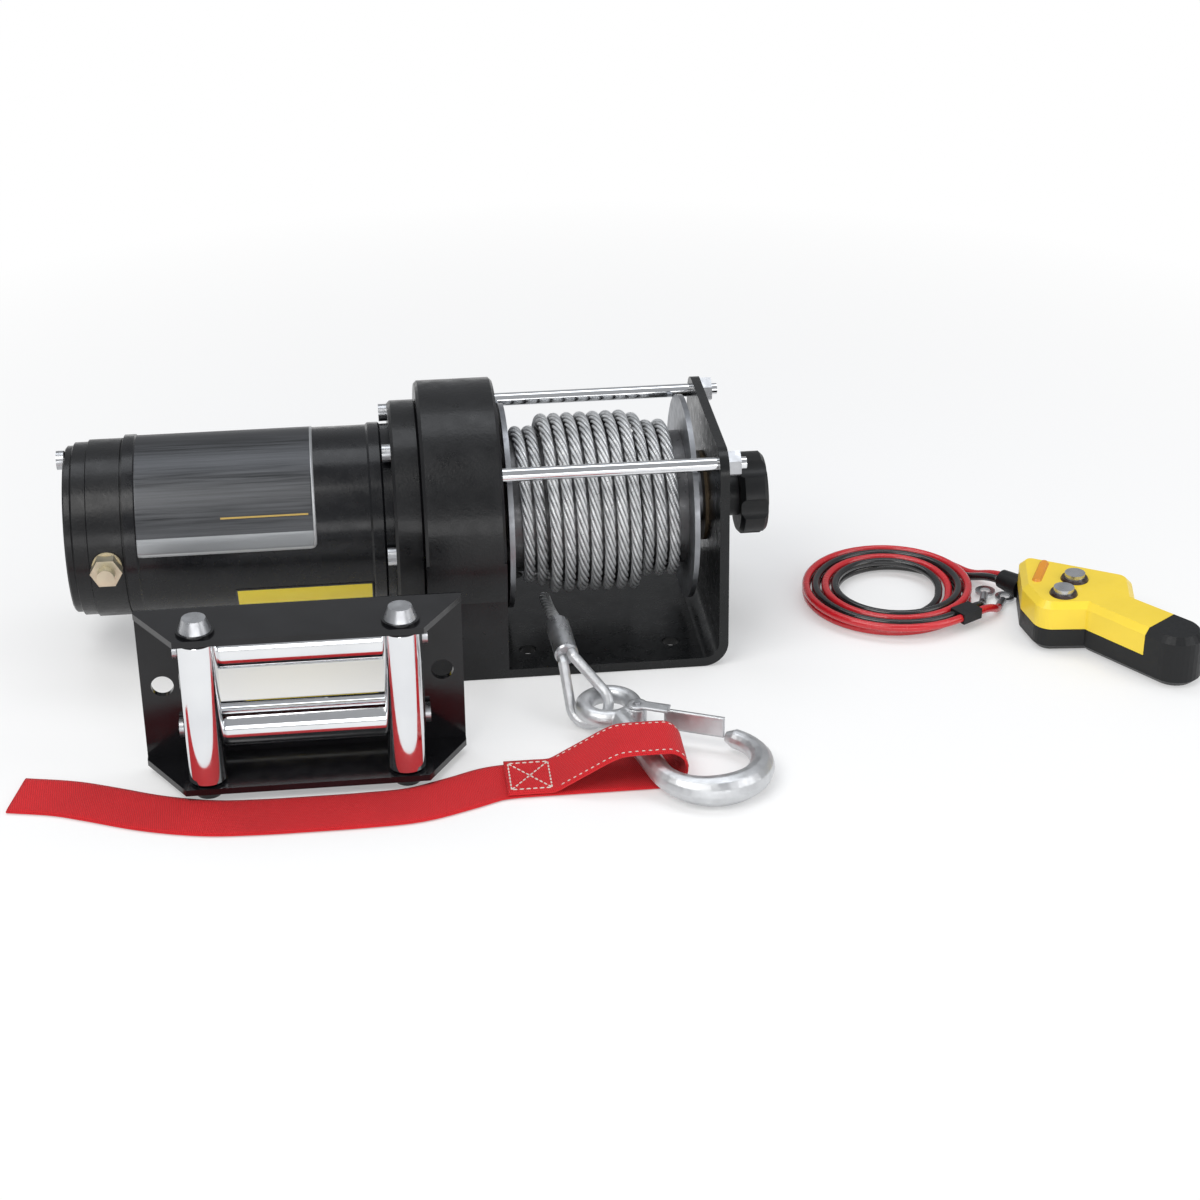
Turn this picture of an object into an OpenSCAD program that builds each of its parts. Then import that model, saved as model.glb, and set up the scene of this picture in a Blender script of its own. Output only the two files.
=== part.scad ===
// Electric recovery winch: motor, planetary gear housing, cable drum on a bent
// steel base, roller fairlead, hook with strap, and corded handset.
// +X runs from the motor to the clutch knob, -Y is the rope side, +Z is up.
// The origin is the centre of the base's bolt pattern, on the underside.

/* [Base] */
// Height of the drum axis above the ground
axis_height = 63.5; // [63:0.5:70]
// Thickness of the bent steel plate
plate_t = 4.5; // [4:0.5:6]
// Front to back size of the base
base_depth = 118; // [112:1:124]
// From the bolt pattern's centre to the outer face of the upright leg
leg_reach = 60.5; // [58:0.5:64]
// Height of the upright leg above the drum axis
leg_rise = 44.5; // [44.5:0.5:48]
// Width of the leg at its top
leg_top_width = 108; // [104:1:112]
// Outer radius of the bend
bend_r = 12; // [10:0.5:14]
// Bolt spacing along the drum
mount_spacing_x = 70; // [60:1:72]
// Bolt spacing from front to back
mount_spacing_y = 80; // [70:1:90]
// Radius of the base's bolt holes
mount_hole_r = 4.3; // [3.3:0.1:5.3]

/* [Gear housing] */
// Outer radius of the round housing
housing_r = 63; // [62:0.5:64]
// Length of the housing casting
housing_length = 30.5; // [29.5:0.5:34]
// Thickness of the wall that carries the drum
housing_wall = 6; // [5:0.5:6.5]
// Length of the cover ring
cover_length = 7; // [6:0.5:9]
// Radius of the motor adapter flange
adapter_r = 54; // [53:0.5:56]
// Length of the motor adapter flange
adapter_length = 13.5; // [12:0.5:16]

/* [Motor] */
// Outer radius of the motor can
can_r = 43; // [42:0.5:44]
// Wall of the motor can
can_wall = 3; // [2.5:0.5:3]
// Length of the motor can
can_length = 125.5; // [115:0.5:135]
// Length of the end bell
bell_length = 28; // [27:0.5:32]
// Radius of the armature
armature_r = 32; // [28:0.5:33]

/* [Gears] */
// Gear module
gear_module = 1.25; // [1.23:0.01:1.27]
// Thinning of each tooth flank
flank_play = 0.16; // [0.12:0.01:0.2]
// Length of the planet gears
planet_length = 12; // [10:0.5:12.5]

/* [Drum] */
// Clear length between the housing and the leg
drum_bay = 101.5; // [99:0.5:108]
// Radius of the drum barrel
barrel_r = 22; // [20:0.5:24]
// Radius of the drum flanges
flange_r = 50; // [48:0.5:52]
// Thickness of the drum flanges
flange_t = 2.5; // [2:0.25:3]
// Radius of the drum's left hub
hub_left_r = 16; // [15:0.5:17]
// Radius of the drum's right hub
hub_right_r = 13; // [12:0.5:14]

/* [Rope] */
// Radius of the wire rope
rope_r = 2.75; // [2.5:0.05:2.9]
// Distance from turn to turn on the drum
rope_pitch = 6.4; // [6.3:0.05:6.6]
// Turns on the drum's outer layer
rope_turns = 12; // [9:1:12]
// Centre radius of the outer layer where the drum is less full
rope_low_r = 35.75; // [35:0.25:37]
// Centre radius of the outer layer where the drum is fuller
rope_high_r = 41.25; // [40.5:0.25:42]

/* [Tie rods and clutch] */
// Radius of the tie rods
tie_rod_r = 3.3; // [3:0.1:3.6]
// Distance of each tie rod from the middle plane
tie_rod_y = 45; // [43:0.5:45.5]
// Height of the tie rods above the drum axis
tie_rod_rise = 37; // [35:0.5:37.5]
// Radius of the clutch knob's head
knob_r = 20.5; // [18:0.5:23]
// Length of the clutch knob's head
knob_length = 13.5; // [11:0.5:16]
// Pull of the clutch knob
clutch_travel = 8; // [7:0.5:9]

/* [Fairlead] */
// Distance between the fairlead's mounting holes
fairlead_spacing = 124; // [122:0.5:128]
// Width of the fairlead's plate
fairlead_width = 143; // [140:1:150]
// Height of the fairlead's frame
fairlead_height = 77; // [76:0.5:82]
// Thickness of the fairlead's plate
fairlead_t = 3; // [2.5:0.5:3.5]
// Radius of the upright rollers
upright_r = 8.5; // [8:0.25:9]
// Radius of the level rollers
level_r = 10.5; // [10:0.25:11]
// Clear height between the level rollers
rope_gap = 19; // [17:0.5:20]
// Distance between the upright rollers' axes
upright_spacing = 88; // [84:1:90]

/* [Hook] */
// Distance from the eye's centre to the bowl's centre
hook_reach = 60; // [58:1:62]
// Centre radius of the hook's bowl
bowl_r = 24; // [23:0.5:25]
// Thickest radius of the hook's bar
hook_bar_r = 7; // [6.5:0.25:7]
// Width of the strap
strap_width = 28; // [24:1:29]
// Thickness of the strap
strap_t = 1.5; // [1.2:0.1:1.6]

/* [Handset] */
// Thickness of the handset's front shell
front_shell_h = 14; // [12:0.5:18]
// Thickness of the handset's rear shell
rear_shell_h = 12; // [10:0.5:14]
// Radius of the push buttons
button_r = 5; // [4:0.25:5.5]
// Travel of the push buttons
button_travel = 2; // [1.5:0.1:2.5]

/* [Leads] */
// Radius of each lead
lead_r = 2; // [1.8:0.05:2.1]
// Distance from lead to lead in the coil
lead_pitch = 4.9; // [4.8:0.05:5.1]
// Outer centre radius of the coil
coil_r = 47; // [46.5:0.25:47.5]

/* [Hidden] */
$fn = 72;

// Shared clearances
overrun = 1;
running_gap = 0.05;
seat_gap = 0.1;
clear_gap = 0.4;
soft_gap = 0.3;

// Places along the winch's axis
leg_outer = leg_reach;
leg_height = axis_height + leg_rise;
leg_inner = leg_outer - plate_t;
housing_right = leg_inner - drum_bay;
housing_left = housing_right - housing_length;
cover_left = housing_left - cover_length;
adapter_left = cover_left - adapter_length;
can_left = adapter_left - can_length;
bell_left = can_left - bell_length;

// Gear cavity and gear train
sun_teeth = 12;
planet_teeth = 18;
ring_teeth = sun_teeth + 2 * planet_teeth;
planet_count = 3;
pressure_angle = 20;
addendum = 0.8 * gear_module;
dedendum = 1.1 * gear_module;
flank_steps = 4;
ring_outer_r = 36;
cavity_r = ring_outer_r + seat_gap;
planet_orbit = gear_module * (sun_teeth + planet_teeth) / 2;
gear_end_gap = 1;
planet_left = housing_left + gear_end_gap;
carrier_left = planet_left + planet_length + gear_end_gap / 2;
carrier_right = housing_right - housing_wall - 3 * gear_end_gap;
planet_pin_r = 4;
carrier_r = 29;
cover_bore_r = 30;

// Motor insides
shaft_r = 4;
bearing_outer_r = 11;
bearing_width = 7;
bell_wall = 4;
bell_cavity_r = 33.5;
bell_rim_r = can_r - 0.5;
spigot_length = 3;
bolt_circle_r = 36.4;
bolt_r = 2;
bolt_head_r = 4.5;
bolt_head_h = 3.5;
magnet_t = 3.6;
magnet_margin = 12;
magnet_slot = 26;
armature_slots = 12;
armature_slot_w = 3;
armature_slot_depth = 8;
commutator_r = 13;
commutator_length = 16;
commutator_left = bell_left + bell_wall + bearing_width + 2;
commutator_bars = 24;
brush_plate_t = 2;
brush_w = 8;
brush_length = 10;
brush_reach = 27;
terminal_x = bell_left + 0.68 * bell_length;
terminal_flat_y = bell_rim_r - 1.5;
insulator_r = 7;
bell_groove_w = 1.4;
insulator_t = 3.2;
stud_r = 4;
stud_inner_y = 31;
stud_reach = 14;
nut_across_flats = 13;
nut_t = 6;
band_rise = 1;
band_w = 5;

// Fasteners
screw_r = 2.5;
screw_head_r = 4.2;
screw_head_h = 4;
screw_circle_r = 48.6;
screw_count = 6;
screw_depth = 12;
foot_screw_y = 36;
foot_screw_depth = 14;
countersink_h = 2.6;
rim_chamfer = 1.4;

// Drum and clutch
drum_side_gap = 2.5;
drum_right_gap = 8.5;
drum_left = housing_right + drum_side_gap;
drum_right = leg_inner - drum_right_gap;
hub_left_end = housing_right - housing_wall - gear_end_gap;
hub_right_end = leg_outer + 1.5;
bush_wall = 3;
bush_collar_r = 22;
bush_collar_t = 1.6;
dog_across_flats = 14;
hex_gap = 0.2;
dog_engagement = 6;
dog_left = carrier_right - dog_engagement;
dog_length = 28;
dog_bore_r = 4.6;
rod_r = 4;
rod_head_r = 5.4;
rod_head_t = 2.5;
spring_wire_r = 0.75;
spring_curls = 7;
spring_r = 5.8;
spring_space = 13;
drum_hex_end = dog_left + dog_length + clutch_travel + spring_space;
neck_r = 11;
neck_length = 10;
neck_gap = 0.6;
neck_start = hub_right_end + neck_gap;
knob_start = neck_start + neck_length;
knob_end = knob_start + knob_length;
knob_lobes = 6;
knob_chamfer = 2;
leg_corner_r = 12;
tie_thread = 14;
tie_nut_across_flats = 11;
tie_nut_t = 6;
tie_end_r = 2.8;
tie_end_length = 9;

// Rope on the drum
wound_length = rope_turns * rope_pitch;
wound_start = (drum_left + drum_right - wound_length) / 2;
climb_at_turn = 1.5;
drop_at_turn = rope_turns - 3;
rings_per_turn = 24;
rope_sides = 6;
rope_seat = 0.45;

// Fairlead
fairlead_x = -142;
fairlead_y = -119;
low_nut_h = 4;
fairlead_bottom = low_nut_h;
fairlead_top = fairlead_bottom + fairlead_height;
level_forward = 5.5;
upright_forward = level_forward + level_r + 1 + upright_r;
flange_depth = upright_forward + upright_r + 0.5;
level_offset = rope_gap / 2 + level_r;
fairlead_mid = (fairlead_bottom + fairlead_top) / 2;
roller_pin_r = 4;
roller_end_gap = 0.4;
roller_chamfer = 1;
cheek_t = 2.5;
level_overhang = 6.5;
level_half = upright_spacing / 2 + level_overhang;
window_half = level_half + roller_end_gap;
window_half_height = level_offset + level_r + 1.5;
fairlead_hole_r = 5;
fairlead_bend_r = 4;
ear_margin = 9;
pin_head_r = 7.2;
level_head_r = 4.5;
pin_head_h = 5.5;
washer_r = 8.4;
washer_t = 1.2;
low_nut_r = 7.2;

// Rope end, thimble and hook
eye_x = -4;
eye_y = -113;
eye_z = 12.5;
eye_r = 11.5;
eye_bar_r = 4.2;
hook_z = hook_bar_r;
hook_turn = -49;
shank_r = 5.2;
tip_r = 4.5;
bowl_sweep = 214;
hook_sides = 12;
shank_steps = 8;
bowl_steps = 26;
ferrule_start = [-23, -64.5, 31.5];
ferrule_way = [2, -27.5, -2.5];
ferrule_r = 5.6;
ferrule_length = 27.7;
thimble_bar_r = 2.6;
thimble_half_width = 9.4;
thimble_apex = [-21, -92, 29];
thimble_toe = [-9, -113, 4.6];
thimble_roll = 50;
thimble_sides = 8;

// Latch, in the hook's own frame
latch_pin_r = 1.5;
latch_pivot = [14, 4];
latch_boss_r = 4.4;
latch_boss_half = 4.3;
latch_w = 1.6;
latch_cheek_t = 1.1;
latch_cheek_r = 4.5;
latch_web_start = 13;
latch_cheek_length = 15;
latch_web_h = 10;

// Strap
loop_y = -153;
loop_half_h = 9.6;
loop_fold_x = 25.5;
loop_rise_x = -5;
stitch_right = -34;
stitch_left = -55;
strap_tail_route = [
    [-271, -138], [-250, -143], [-234, -149.5], [-210, -160.2], [-186, -167],
    [-164, -168.9], [-142, -169.2], [-118, -169], [-96, -167.4], [-76, -160.6],
    [-62, -154.8], [-52, -153.2], [-44, -153], [-34, -153]
];

// Rope tail, from under the drum to the ferrule: x, y and the share of the drop
tail_start_drop = 45.6;
tail_plan = [
    [-24, -11.8, 1], [-24, -18, 0.882], [-24, -25, 0.75], [-23.9, -32, 0.618],
    [-23.8, -39, 0.485], [-23.6, -46, 0.338], [-23.4, -52.5, 0.191], [-23.2, -59, 0.059],
    [-23.07, -63.5, -0.006], [ferrule_start.x, ferrule_start.y, 0]
];
tail_fall = ferrule_start.z - (axis_height - tail_start_drop);
tail_route = [for (p = tail_plan) [p.x, p.y, ferrule_start.z - p.z * tail_fall]];

// Handset, in its own frame
handset_x = 237;
handset_y = -48;
head_circles = [[-17, 29, 6], [19, 5, 8], [15, -13, 8], [-17, -9, 9], [-21, 5, 7]];
grip_circles = [[8, -14, 12], [33, -48, 13]];
bump_circles = [[23, 6, 9.5], [22, -10, 9.5]];
shell_round = 3;
shell_seam = 0.2;
grip_angle = atan2(grip_circles[1].y - grip_circles[0].y, grip_circles[1].x - grip_circles[0].x);
butt_start = 33;
butt_box = 30;
button_in_at = [-1.4, 7.1];
button_out_at = [-11, -7.1];
button_depth = 8;
button_rise = 2.6;
button_body = 5;
bezel_rise = 1.2;
bezel_w = 1.9;
relief_start = [-19.8, 33.2];
relief_angle = 123.5;
relief_length = 13;
relief_z = 9;
relief_r1 = 6;
relief_r2 = 4.8;
ridge_from = [-11.5, 25.5];
ridge_to = [-20, 8.5];
ridge_w = 2.4;
ridge_rise = 1.2;

// Leads, from the handset to the coil and from the coil to the terminals
coil_x = 154;
coil_y = 0;
coil_turns = 3.75;
coil_start_angle = 30;
lead_sides = 8;
coil_sides = 6;
red_run = [
    [212.02, -2.66, 9], [210.92, -0.99, 9], [208.9, 2.2, 8.3], [206.5, 5.9, 7],
    [204, 9.7, 5.2], [201.6, 13.1, 3.6], [199.1, 16.8, 2.5], [196.9, 20.2, 2], [194.7, 23.5, 2]
];
black_run = [
    [207.94, -5.36, 9], [206.84, -3.69, 9], [204.7, -0.5, 8.3], [202.3, 3.3, 7],
    [199.8, 7.1, 5.2], [197.4, 10.6, 3.6], [194.9, 14.3, 2.5], [192.6, 17.8, 2], [190.46, 21.05, 2]
];
red_stub = [[177.5, -40.7, 6.9], [180.1, -39.2, 6.9]];
black_stub = [[175.05, -36.46, 6.9], [177.65, -34.96, 6.9]];
red_end = [
    [190.49, -33.2, 6.9], [193.09, -31.7, 6.9], [195.9, -30.1, 6.6], [198.4, -28.5, 5.8],
    [200.5, -26.7, 4.6], [202, -24.7, 3.3], [203.2, -22.7, 2.3], [204.2, -21, 2]
];
black_end = [
    [188.04, -28.96, 6.9], [190.64, -27.46, 6.9], [192.45, -26.1, 6.5], [193.85, -24.5, 5.6],
    [194.85, -22.6, 4.4], [195.6, -20.6, 3.1], [196.35, -18.5, 2.2], [197.1, -16.45, 2],
    [197.8, -14.55, 2]
];
connector_start = [178.87, -37.08];
connector_angle = 30;
connector_length = 12;
lead_join_gap = 0.4;
connector_w = 10;
connector_h = 5.4;
connector_z = 6.9;
terminal_barrel_r = 1.95;
terminal_barrel_length = 8;
terminal_ring_r = 5;
terminal_hole_r = 2.6;
terminal_t = 1.2;

// Vectors
function unit(v) = v / norm(v);
function smooth(t) = let (s = max(0, min(1, t))) s * s * (3 - 2 * s);

// Turns a unit vector about another by an angle
function turned(v, axis, angle) =
    v * cos(angle) + cross(axis, v) * sin(angle) + axis * (axis * v) * (1 - cos(angle));

// Direction of a path at one of its points
function heading(path, i) =
    unit(path[min(i + 1, len(path) - 1)] - path[max(i - 1, 0)]);

// One ring of a swept tube
function tube_ring(centre, along, guide, r, sides) =
    let (side = unit(cross(along, guide)), lift = cross(side, along))
    [for (k = [0:sides - 1]) centre + r * cos(360 * k / sides) * side
        + r * sin(360 * k / sides) * lift];

// A tube swept along a path; guides has one vector per point
module swept_tube(path, radii, sides, guides) {
    count = len(path);
    rings = [for (i = [0:count - 1])
        tube_ring(path[i], heading(path, i), guides[i], radii[i], sides)];
    corners = [for (each_ring = rings) each each_ring];
    walls = [for (i = [0:count - 2], k = [0:sides - 1])
        let (a = i * sides + k, b = i * sides + (k + 1) % sides)
        each [[a, b, b + sides], [a, b + sides, a + sides]]];
    first_cap = [for (k = [sides - 1:-1:0]) k];
    last_cap = [for (k = [0:sides - 1]) (count - 1) * sides + k];
    polyhedron(points = corners, faces = concat(walls, [first_cap, last_cap]));
}

module plain_tube(path, r, sides) {
    swept_tube(path, [for (p = path) r], sides, [for (p = path) [0, 0, 1]]);
}

// Least gap of a path to itself, skipping its near neighbours
function self_gap(path, skip, r) =
    min([for (i = [0:len(path) - 1], j = [i + skip:1:min(len(path) - 1, i + 3 * skip)])
        norm(path[i] - path[j])]) - 2 * r;

// Solids about the winch's axis
module revolve_x(profile) {
    translate([0, 0, axis_height])
        rotate([0, 90, 0])
            rotate_extrude()
                polygon(profile);
}

module rod_x(x0, x1, r, y = 0, z = axis_height) {
    translate([x0, y, z])
        rotate([0, 90, 0])
            cylinder(h = x1 - x0, r = r);
}

module hex_x(x0, x1, across_flats, y = 0, z = axis_height) {
    translate([x0, y, z])
        rotate([0, 90, 0])
            cylinder(h = x1 - x0, r = across_flats / 2 / cos(30), $fn = 6);
}

// Draws a shape given in front view, from x0 for a length along X
module slab_x(x0, length) {
    translate([x0, 0, 0])
        rotate([90, 0, 90])
            linear_extrude(length)
                children();
}

module each_tie_rod() {
    for (side = [-1, 1])
        translate([0, side * tie_rod_y, axis_height + tie_rod_rise])
            children();
}

module each_screw(circle_r, count) {
    translate([0, 0, axis_height])
        for (i = [0:count - 1])
            rotate([360 * (i + 0.5) / count, 0, 0])
                translate([0, 0, circle_r])
                    children();
}

module x_cylinder(x0, x1, r) {
    translate([x0, 0, 0])
        rotate([0, 90, 0])
            cylinder(h = x1 - x0, r = r);
}

// Base: one plate bent up into the drum's right leg
module base_profile() {
    translate([cover_left, 0])
        square([leg_outer - bend_r - cover_left, plate_t]);
    translate([leg_inner, bend_r])
        square([plate_t, leg_height - bend_r]);
    translate([leg_outer - bend_r, bend_r])
        intersection() {
            difference() {
                circle(bend_r);
                circle(bend_r - plate_t);
            }
            translate([0, -bend_r])
                square(bend_r);
        }
}

module leg_outline() {
    top_half = leg_top_width / 2;
    polygon([
        [-base_depth / 2, 0], [base_depth / 2, 0], [base_depth / 2, bend_r],
        [top_half, leg_height - leg_corner_r],
        [top_half - leg_corner_r, leg_height], [leg_corner_r - top_half, leg_height],
        [-top_half, leg_height - leg_corner_r], [-base_depth / 2, bend_r]
    ]);
    for (side = [-1, 1])
        translate([side * (top_half - leg_corner_r), leg_height - leg_corner_r])
            circle(leg_corner_r);
}

module base_frame() {
    foot_x = (housing_left + housing_right) / 2;
    color("#1b1c1e")
        difference() {
            union() {
                translate([cover_left, -base_depth / 2, 0])
                    cube([leg_inner - bend_r - cover_left + overrun, base_depth, plate_t]);
                intersection() {
                    translate([0, base_depth / 2, 0])
                        rotate([90, 0, 0])
                            linear_extrude(base_depth)
                                base_profile();
                    slab_x(leg_inner - bend_r, plate_t + bend_r + overrun)
                        leg_outline();
                }
            }
            for (x = [-mount_spacing_x / 2, mount_spacing_x / 2],
                 y = [-mount_spacing_y / 2, mount_spacing_y / 2])
                translate([x, y, -overrun])
                    cylinder(h = plate_t + 2 * overrun, r = mount_hole_r);
            for (y = [-foot_screw_y, foot_screw_y])
                translate([foot_x, y, 0]) {
                    translate([0, 0, -overrun])
                        cylinder(h = plate_t + 2 * overrun, r = screw_r + seat_gap);
                    translate([0, 0, -seat_gap])
                        cylinder(h = countersink_h + seat_gap, r1 = 2 * screw_r + seat_gap,
                            r2 = screw_r + seat_gap);
                }
            rod_x(leg_inner - overrun, leg_outer + overrun, hub_right_r + bush_wall + seat_gap);
            each_tie_rod()
                x_cylinder(leg_inner - overrun, leg_outer + overrun, tie_end_r + seat_gap);
        }
}

// Gear housing: round above, straight sided below, with its foot on the base
module housing_outline() {
    intersection() {
        translate([0, axis_height])
            circle(housing_r);
        translate([-housing_r, plate_t])
            square(2 * housing_r);
    }
    translate([-base_depth / 2, plate_t])
        square([base_depth, axis_height - plate_t]);
}

// Takes the sharp rim off the upper half of a round face
module rim_cut(x, way) {
    intersection() {
        revolve_x([
            [housing_r - rim_chamfer, x], [housing_r + overrun, x],
            [housing_r + overrun, x - way * (rim_chamfer + overrun)]
        ]);
        translate([x - housing_r, -2 * housing_r, axis_height])
            cube([2 * housing_r, 4 * housing_r, 2 * housing_r]);
    }
}

module gear_housing() {
    foot_x = (housing_left + housing_right) / 2;
    color("#1f2123")
        difference() {
            slab_x(housing_left, housing_length)
                housing_outline();
            rim_cut(housing_right, 1);
            rod_x(housing_left - overrun, housing_right - housing_wall, cavity_r);
            rod_x(housing_left, housing_right + overrun, hub_left_r + bush_wall + seat_gap);
            each_tie_rod()
                x_cylinder(housing_right - tie_thread, housing_right + overrun, tie_rod_r + seat_gap);
            each_screw(screw_circle_r, screw_count)
                x_cylinder(housing_left - overrun, housing_left + screw_depth + 1, screw_r + seat_gap);
            for (y = [-foot_screw_y, foot_screw_y])
                translate([foot_x, y, plate_t - overrun])
                    cylinder(h = foot_screw_depth + 2 * overrun, r = screw_r + seat_gap);
        }
}

module gear_cover() {
    color("#232528")
        difference() {
            slab_x(cover_left, cover_length)
                housing_outline();
            rim_cut(cover_left, -1);
            rod_x(cover_left - overrun, housing_left + overrun, cover_bore_r);
            each_screw(screw_circle_r, screw_count)
                x_cylinder(cover_left - overrun, housing_left + overrun, screw_r + seat_gap);
        }
}

module motor_adapter() {
    spigot_r = can_r - can_wall - seat_gap;
    seat_r = bearing_outer_r + seat_gap;
    bearing_end = adapter_left - spigot_length + bearing_width + seat_gap;
    color("#1f2123")
        difference() {
            revolve_x([
                [shaft_r + overrun, bearing_end], [seat_r, bearing_end],
                [seat_r, adapter_left - spigot_length],
                [spigot_r, adapter_left - spigot_length], [spigot_r, adapter_left],
                [adapter_r - rim_chamfer, adapter_left], [adapter_r, adapter_left + rim_chamfer],
                [adapter_r, cover_left - 1], [adapter_r - 1, cover_left],
                [shaft_r + overrun, cover_left]
            ]);
            each_screw(screw_circle_r, screw_count)
                x_cylinder(adapter_left - overrun, cover_left + overrun, screw_r + seat_gap);
            for (side = [-1, 1])
                rod_x(adapter_left - spigot_length - overrun, adapter_left + tie_thread / 2,
                    bolt_r + seat_gap, 0, axis_height + side * bolt_circle_r);
        }
}

module housing_screws() {
    foot_x = (housing_left + housing_right) / 2;
    color("#8d9196") {
        each_screw(screw_circle_r, screw_count)
            difference() {
                union() {
                    x_cylinder(adapter_left, housing_left + screw_depth, screw_r);
                    x_cylinder(adapter_left - screw_head_h, adapter_left, screw_head_r);
                }
                translate([adapter_left - screw_head_h - overrun, 0, 0])
                    rotate([0, 90, 0])
                        cylinder(h = screw_head_h / 2 + overrun, r = screw_head_r / 2, $fn = 6);
            }
        for (y = [-foot_screw_y, foot_screw_y])
            translate([foot_x, y, 0]) {
                cylinder(h = countersink_h, r1 = 2 * screw_r, r2 = screw_r);
                cylinder(h = plate_t + foot_screw_depth, r = screw_r);
            }
    }
}

// Motor: rolled can with raised bands, cast end bell, bolts right through
module motor_can() {
    inner_r = can_r - can_wall;
    band_r = can_r + band_rise;
    color("#17181a")
        revolve_x([
            [inner_r, can_left], [band_r, can_left], [band_r, can_left + band_w],
            [can_r, can_left + band_w + band_rise],
            [can_r, adapter_left - 2 * band_w - band_rise],
            [band_r, adapter_left - 2 * band_w], [band_r, adapter_left - band_w],
            [can_r, adapter_left - band_w + band_rise], [can_r, adapter_left],
            [inner_r, adapter_left]
        ]);
}

module motor_end_bell() {
    step_1 = bell_left + 0.12 * bell_length;
    step_2 = bell_left + 0.38 * bell_length;
    groove_1 = can_left - bell_groove_w;
    spigot_r = can_r - can_wall - seat_gap;
    hub_r = bearing_outer_r + bell_wall;
    seat_r = bearing_outer_r + seat_gap;
    seat_end = bell_left + bell_wall + bearing_width;
    color("#1f2123")
        difference() {
            revolve_x([
                [0, bell_left], [bell_rim_r - 3.3, bell_left], [bell_rim_r - 2.5, bell_left + 0.8],
                [bell_rim_r - 2.5, step_1], [bell_rim_r - 1, step_1 + 1],
                [bell_rim_r - 1, step_2], [bell_rim_r, step_2 + 0.5],
                [bell_rim_r, groove_1], [bell_rim_r - 1.2, groove_1],
                [bell_rim_r - 1.2, can_left],
                [spigot_r, can_left], [spigot_r, can_left + spigot_length],
                [bell_cavity_r, can_left + spigot_length],
                [bell_cavity_r, bell_left + bell_wall], [hub_r, bell_left + bell_wall],
                [hub_r, seat_end], [seat_r, seat_end], [seat_r, bell_left + bell_wall],
                [0, bell_left + bell_wall]
            ]);
            for (side = [-1, 1]) {
                rod_x(bell_left - overrun, can_left + spigot_length + overrun,
                    bolt_r + seat_gap, 0, axis_height + side * bolt_circle_r);
                translate([terminal_x, 0, axis_height])
                    rotate([side * 90, 0, 0]) {
                        cylinder(h = can_r + overrun, r = stud_r + seat_gap);
                        translate([0, 0, terminal_flat_y])
                            cylinder(h = can_r, r = insulator_r + seat_gap);
                    }
            }
        }
}

module through_bolts() {
    color("#b9bdc2")
        for (side = [-1, 1]) {
            z = axis_height + side * bolt_circle_r;
            rod_x(bell_left, adapter_left + tie_thread / 2 - 1, bolt_r, 0, z);
            rod_x(bell_left - bolt_head_h, bell_left, bolt_head_r, 0, z);
        }
}

module terminal_insulators() {
    color("#c9b88c")
        for (side = [-1, 1])
            translate([terminal_x, 0, axis_height])
                rotate([side * 90, 0, 0])
                    translate([0, 0, terminal_flat_y])
                        difference() {
                            cylinder(h = insulator_t, r = insulator_r);
                            translate([0, 0, -overrun])
                                cylinder(h = insulator_t + 2 * overrun, r = stud_r + seat_gap);
                        }
}

module terminal_studs() {
    color("#c2a35a")
        for (side = [-1, 1])
            translate([terminal_x, 0, axis_height])
                rotate([side * 90, 0, 0]) {
                    translate([0, 0, stud_inner_y])
                        cylinder(h = terminal_flat_y + stud_reach - stud_inner_y, r = stud_r);
                    translate([0, 0, terminal_flat_y + insulator_t])
                        cylinder(h = nut_t, r = nut_across_flats / 2 / cos(30), $fn = 6);
                }
}

module motor_bearings() {
    color("#9fa4a9")
        for (x = [bell_left + bell_wall, adapter_left - spigot_length])
            difference() {
                rod_x(x, x + bearing_width, bearing_outer_r);
                rod_x(x - overrun, x + bearing_width + overrun, shaft_r + running_gap);
            }
}

module magnets() {
    outer_r = can_r - can_wall - seat_gap;
    x0 = can_left + spigot_length + magnet_margin;
    x1 = adapter_left - spigot_length - magnet_margin;
    color("#3a3c40")
        difference() {
            rod_x(x0, x1, outer_r);
            rod_x(x0 - overrun, x1 + overrun, outer_r - magnet_t);
            translate([x0 - overrun, -magnet_slot / 2, axis_height - can_r])
                cube([x1 - x0 + 2 * overrun, magnet_slot, 2 * can_r]);
        }
}

module brush_gear() {
    plate_left = commutator_left + commutator_length - brush_plate_t;
    color("#6b4a2f") {
        difference() {
            rod_x(plate_left, plate_left + brush_plate_t, bell_cavity_r - seat_gap);
            rod_x(plate_left - overrun, plate_left + brush_plate_t + overrun, commutator_r + 2);
        }
        for (side = [-1, 1])
            difference() {
                translate([plate_left - brush_length, side * brush_reach / 2 - brush_reach / 2,
                    axis_height - brush_w / 2])
                    cube([brush_length, brush_reach, brush_w]);
                rod_x(plate_left - brush_length - overrun, plate_left + overrun,
                    commutator_r + soft_gap);
            }
    }
}

module armature_core() {
    x0 = can_left + spigot_length + magnet_margin;
    x1 = adapter_left - spigot_length - magnet_margin;
    color("#7a5b3c")
        difference() {
            rod_x(x0, x1, armature_r);
            rod_x(x0 - overrun, x1 + overrun, shaft_r + seat_gap);
            for (i = [0:armature_slots - 1])
                translate([0, 0, axis_height])
                    rotate([360 * i / armature_slots, 0, 0])
                        translate([x0 - overrun, -armature_slot_w / 2, armature_r - armature_slot_depth])
                            cube([x1 - x0 + 2 * overrun, armature_slot_w, armature_slot_depth + overrun]);
        }
}

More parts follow.
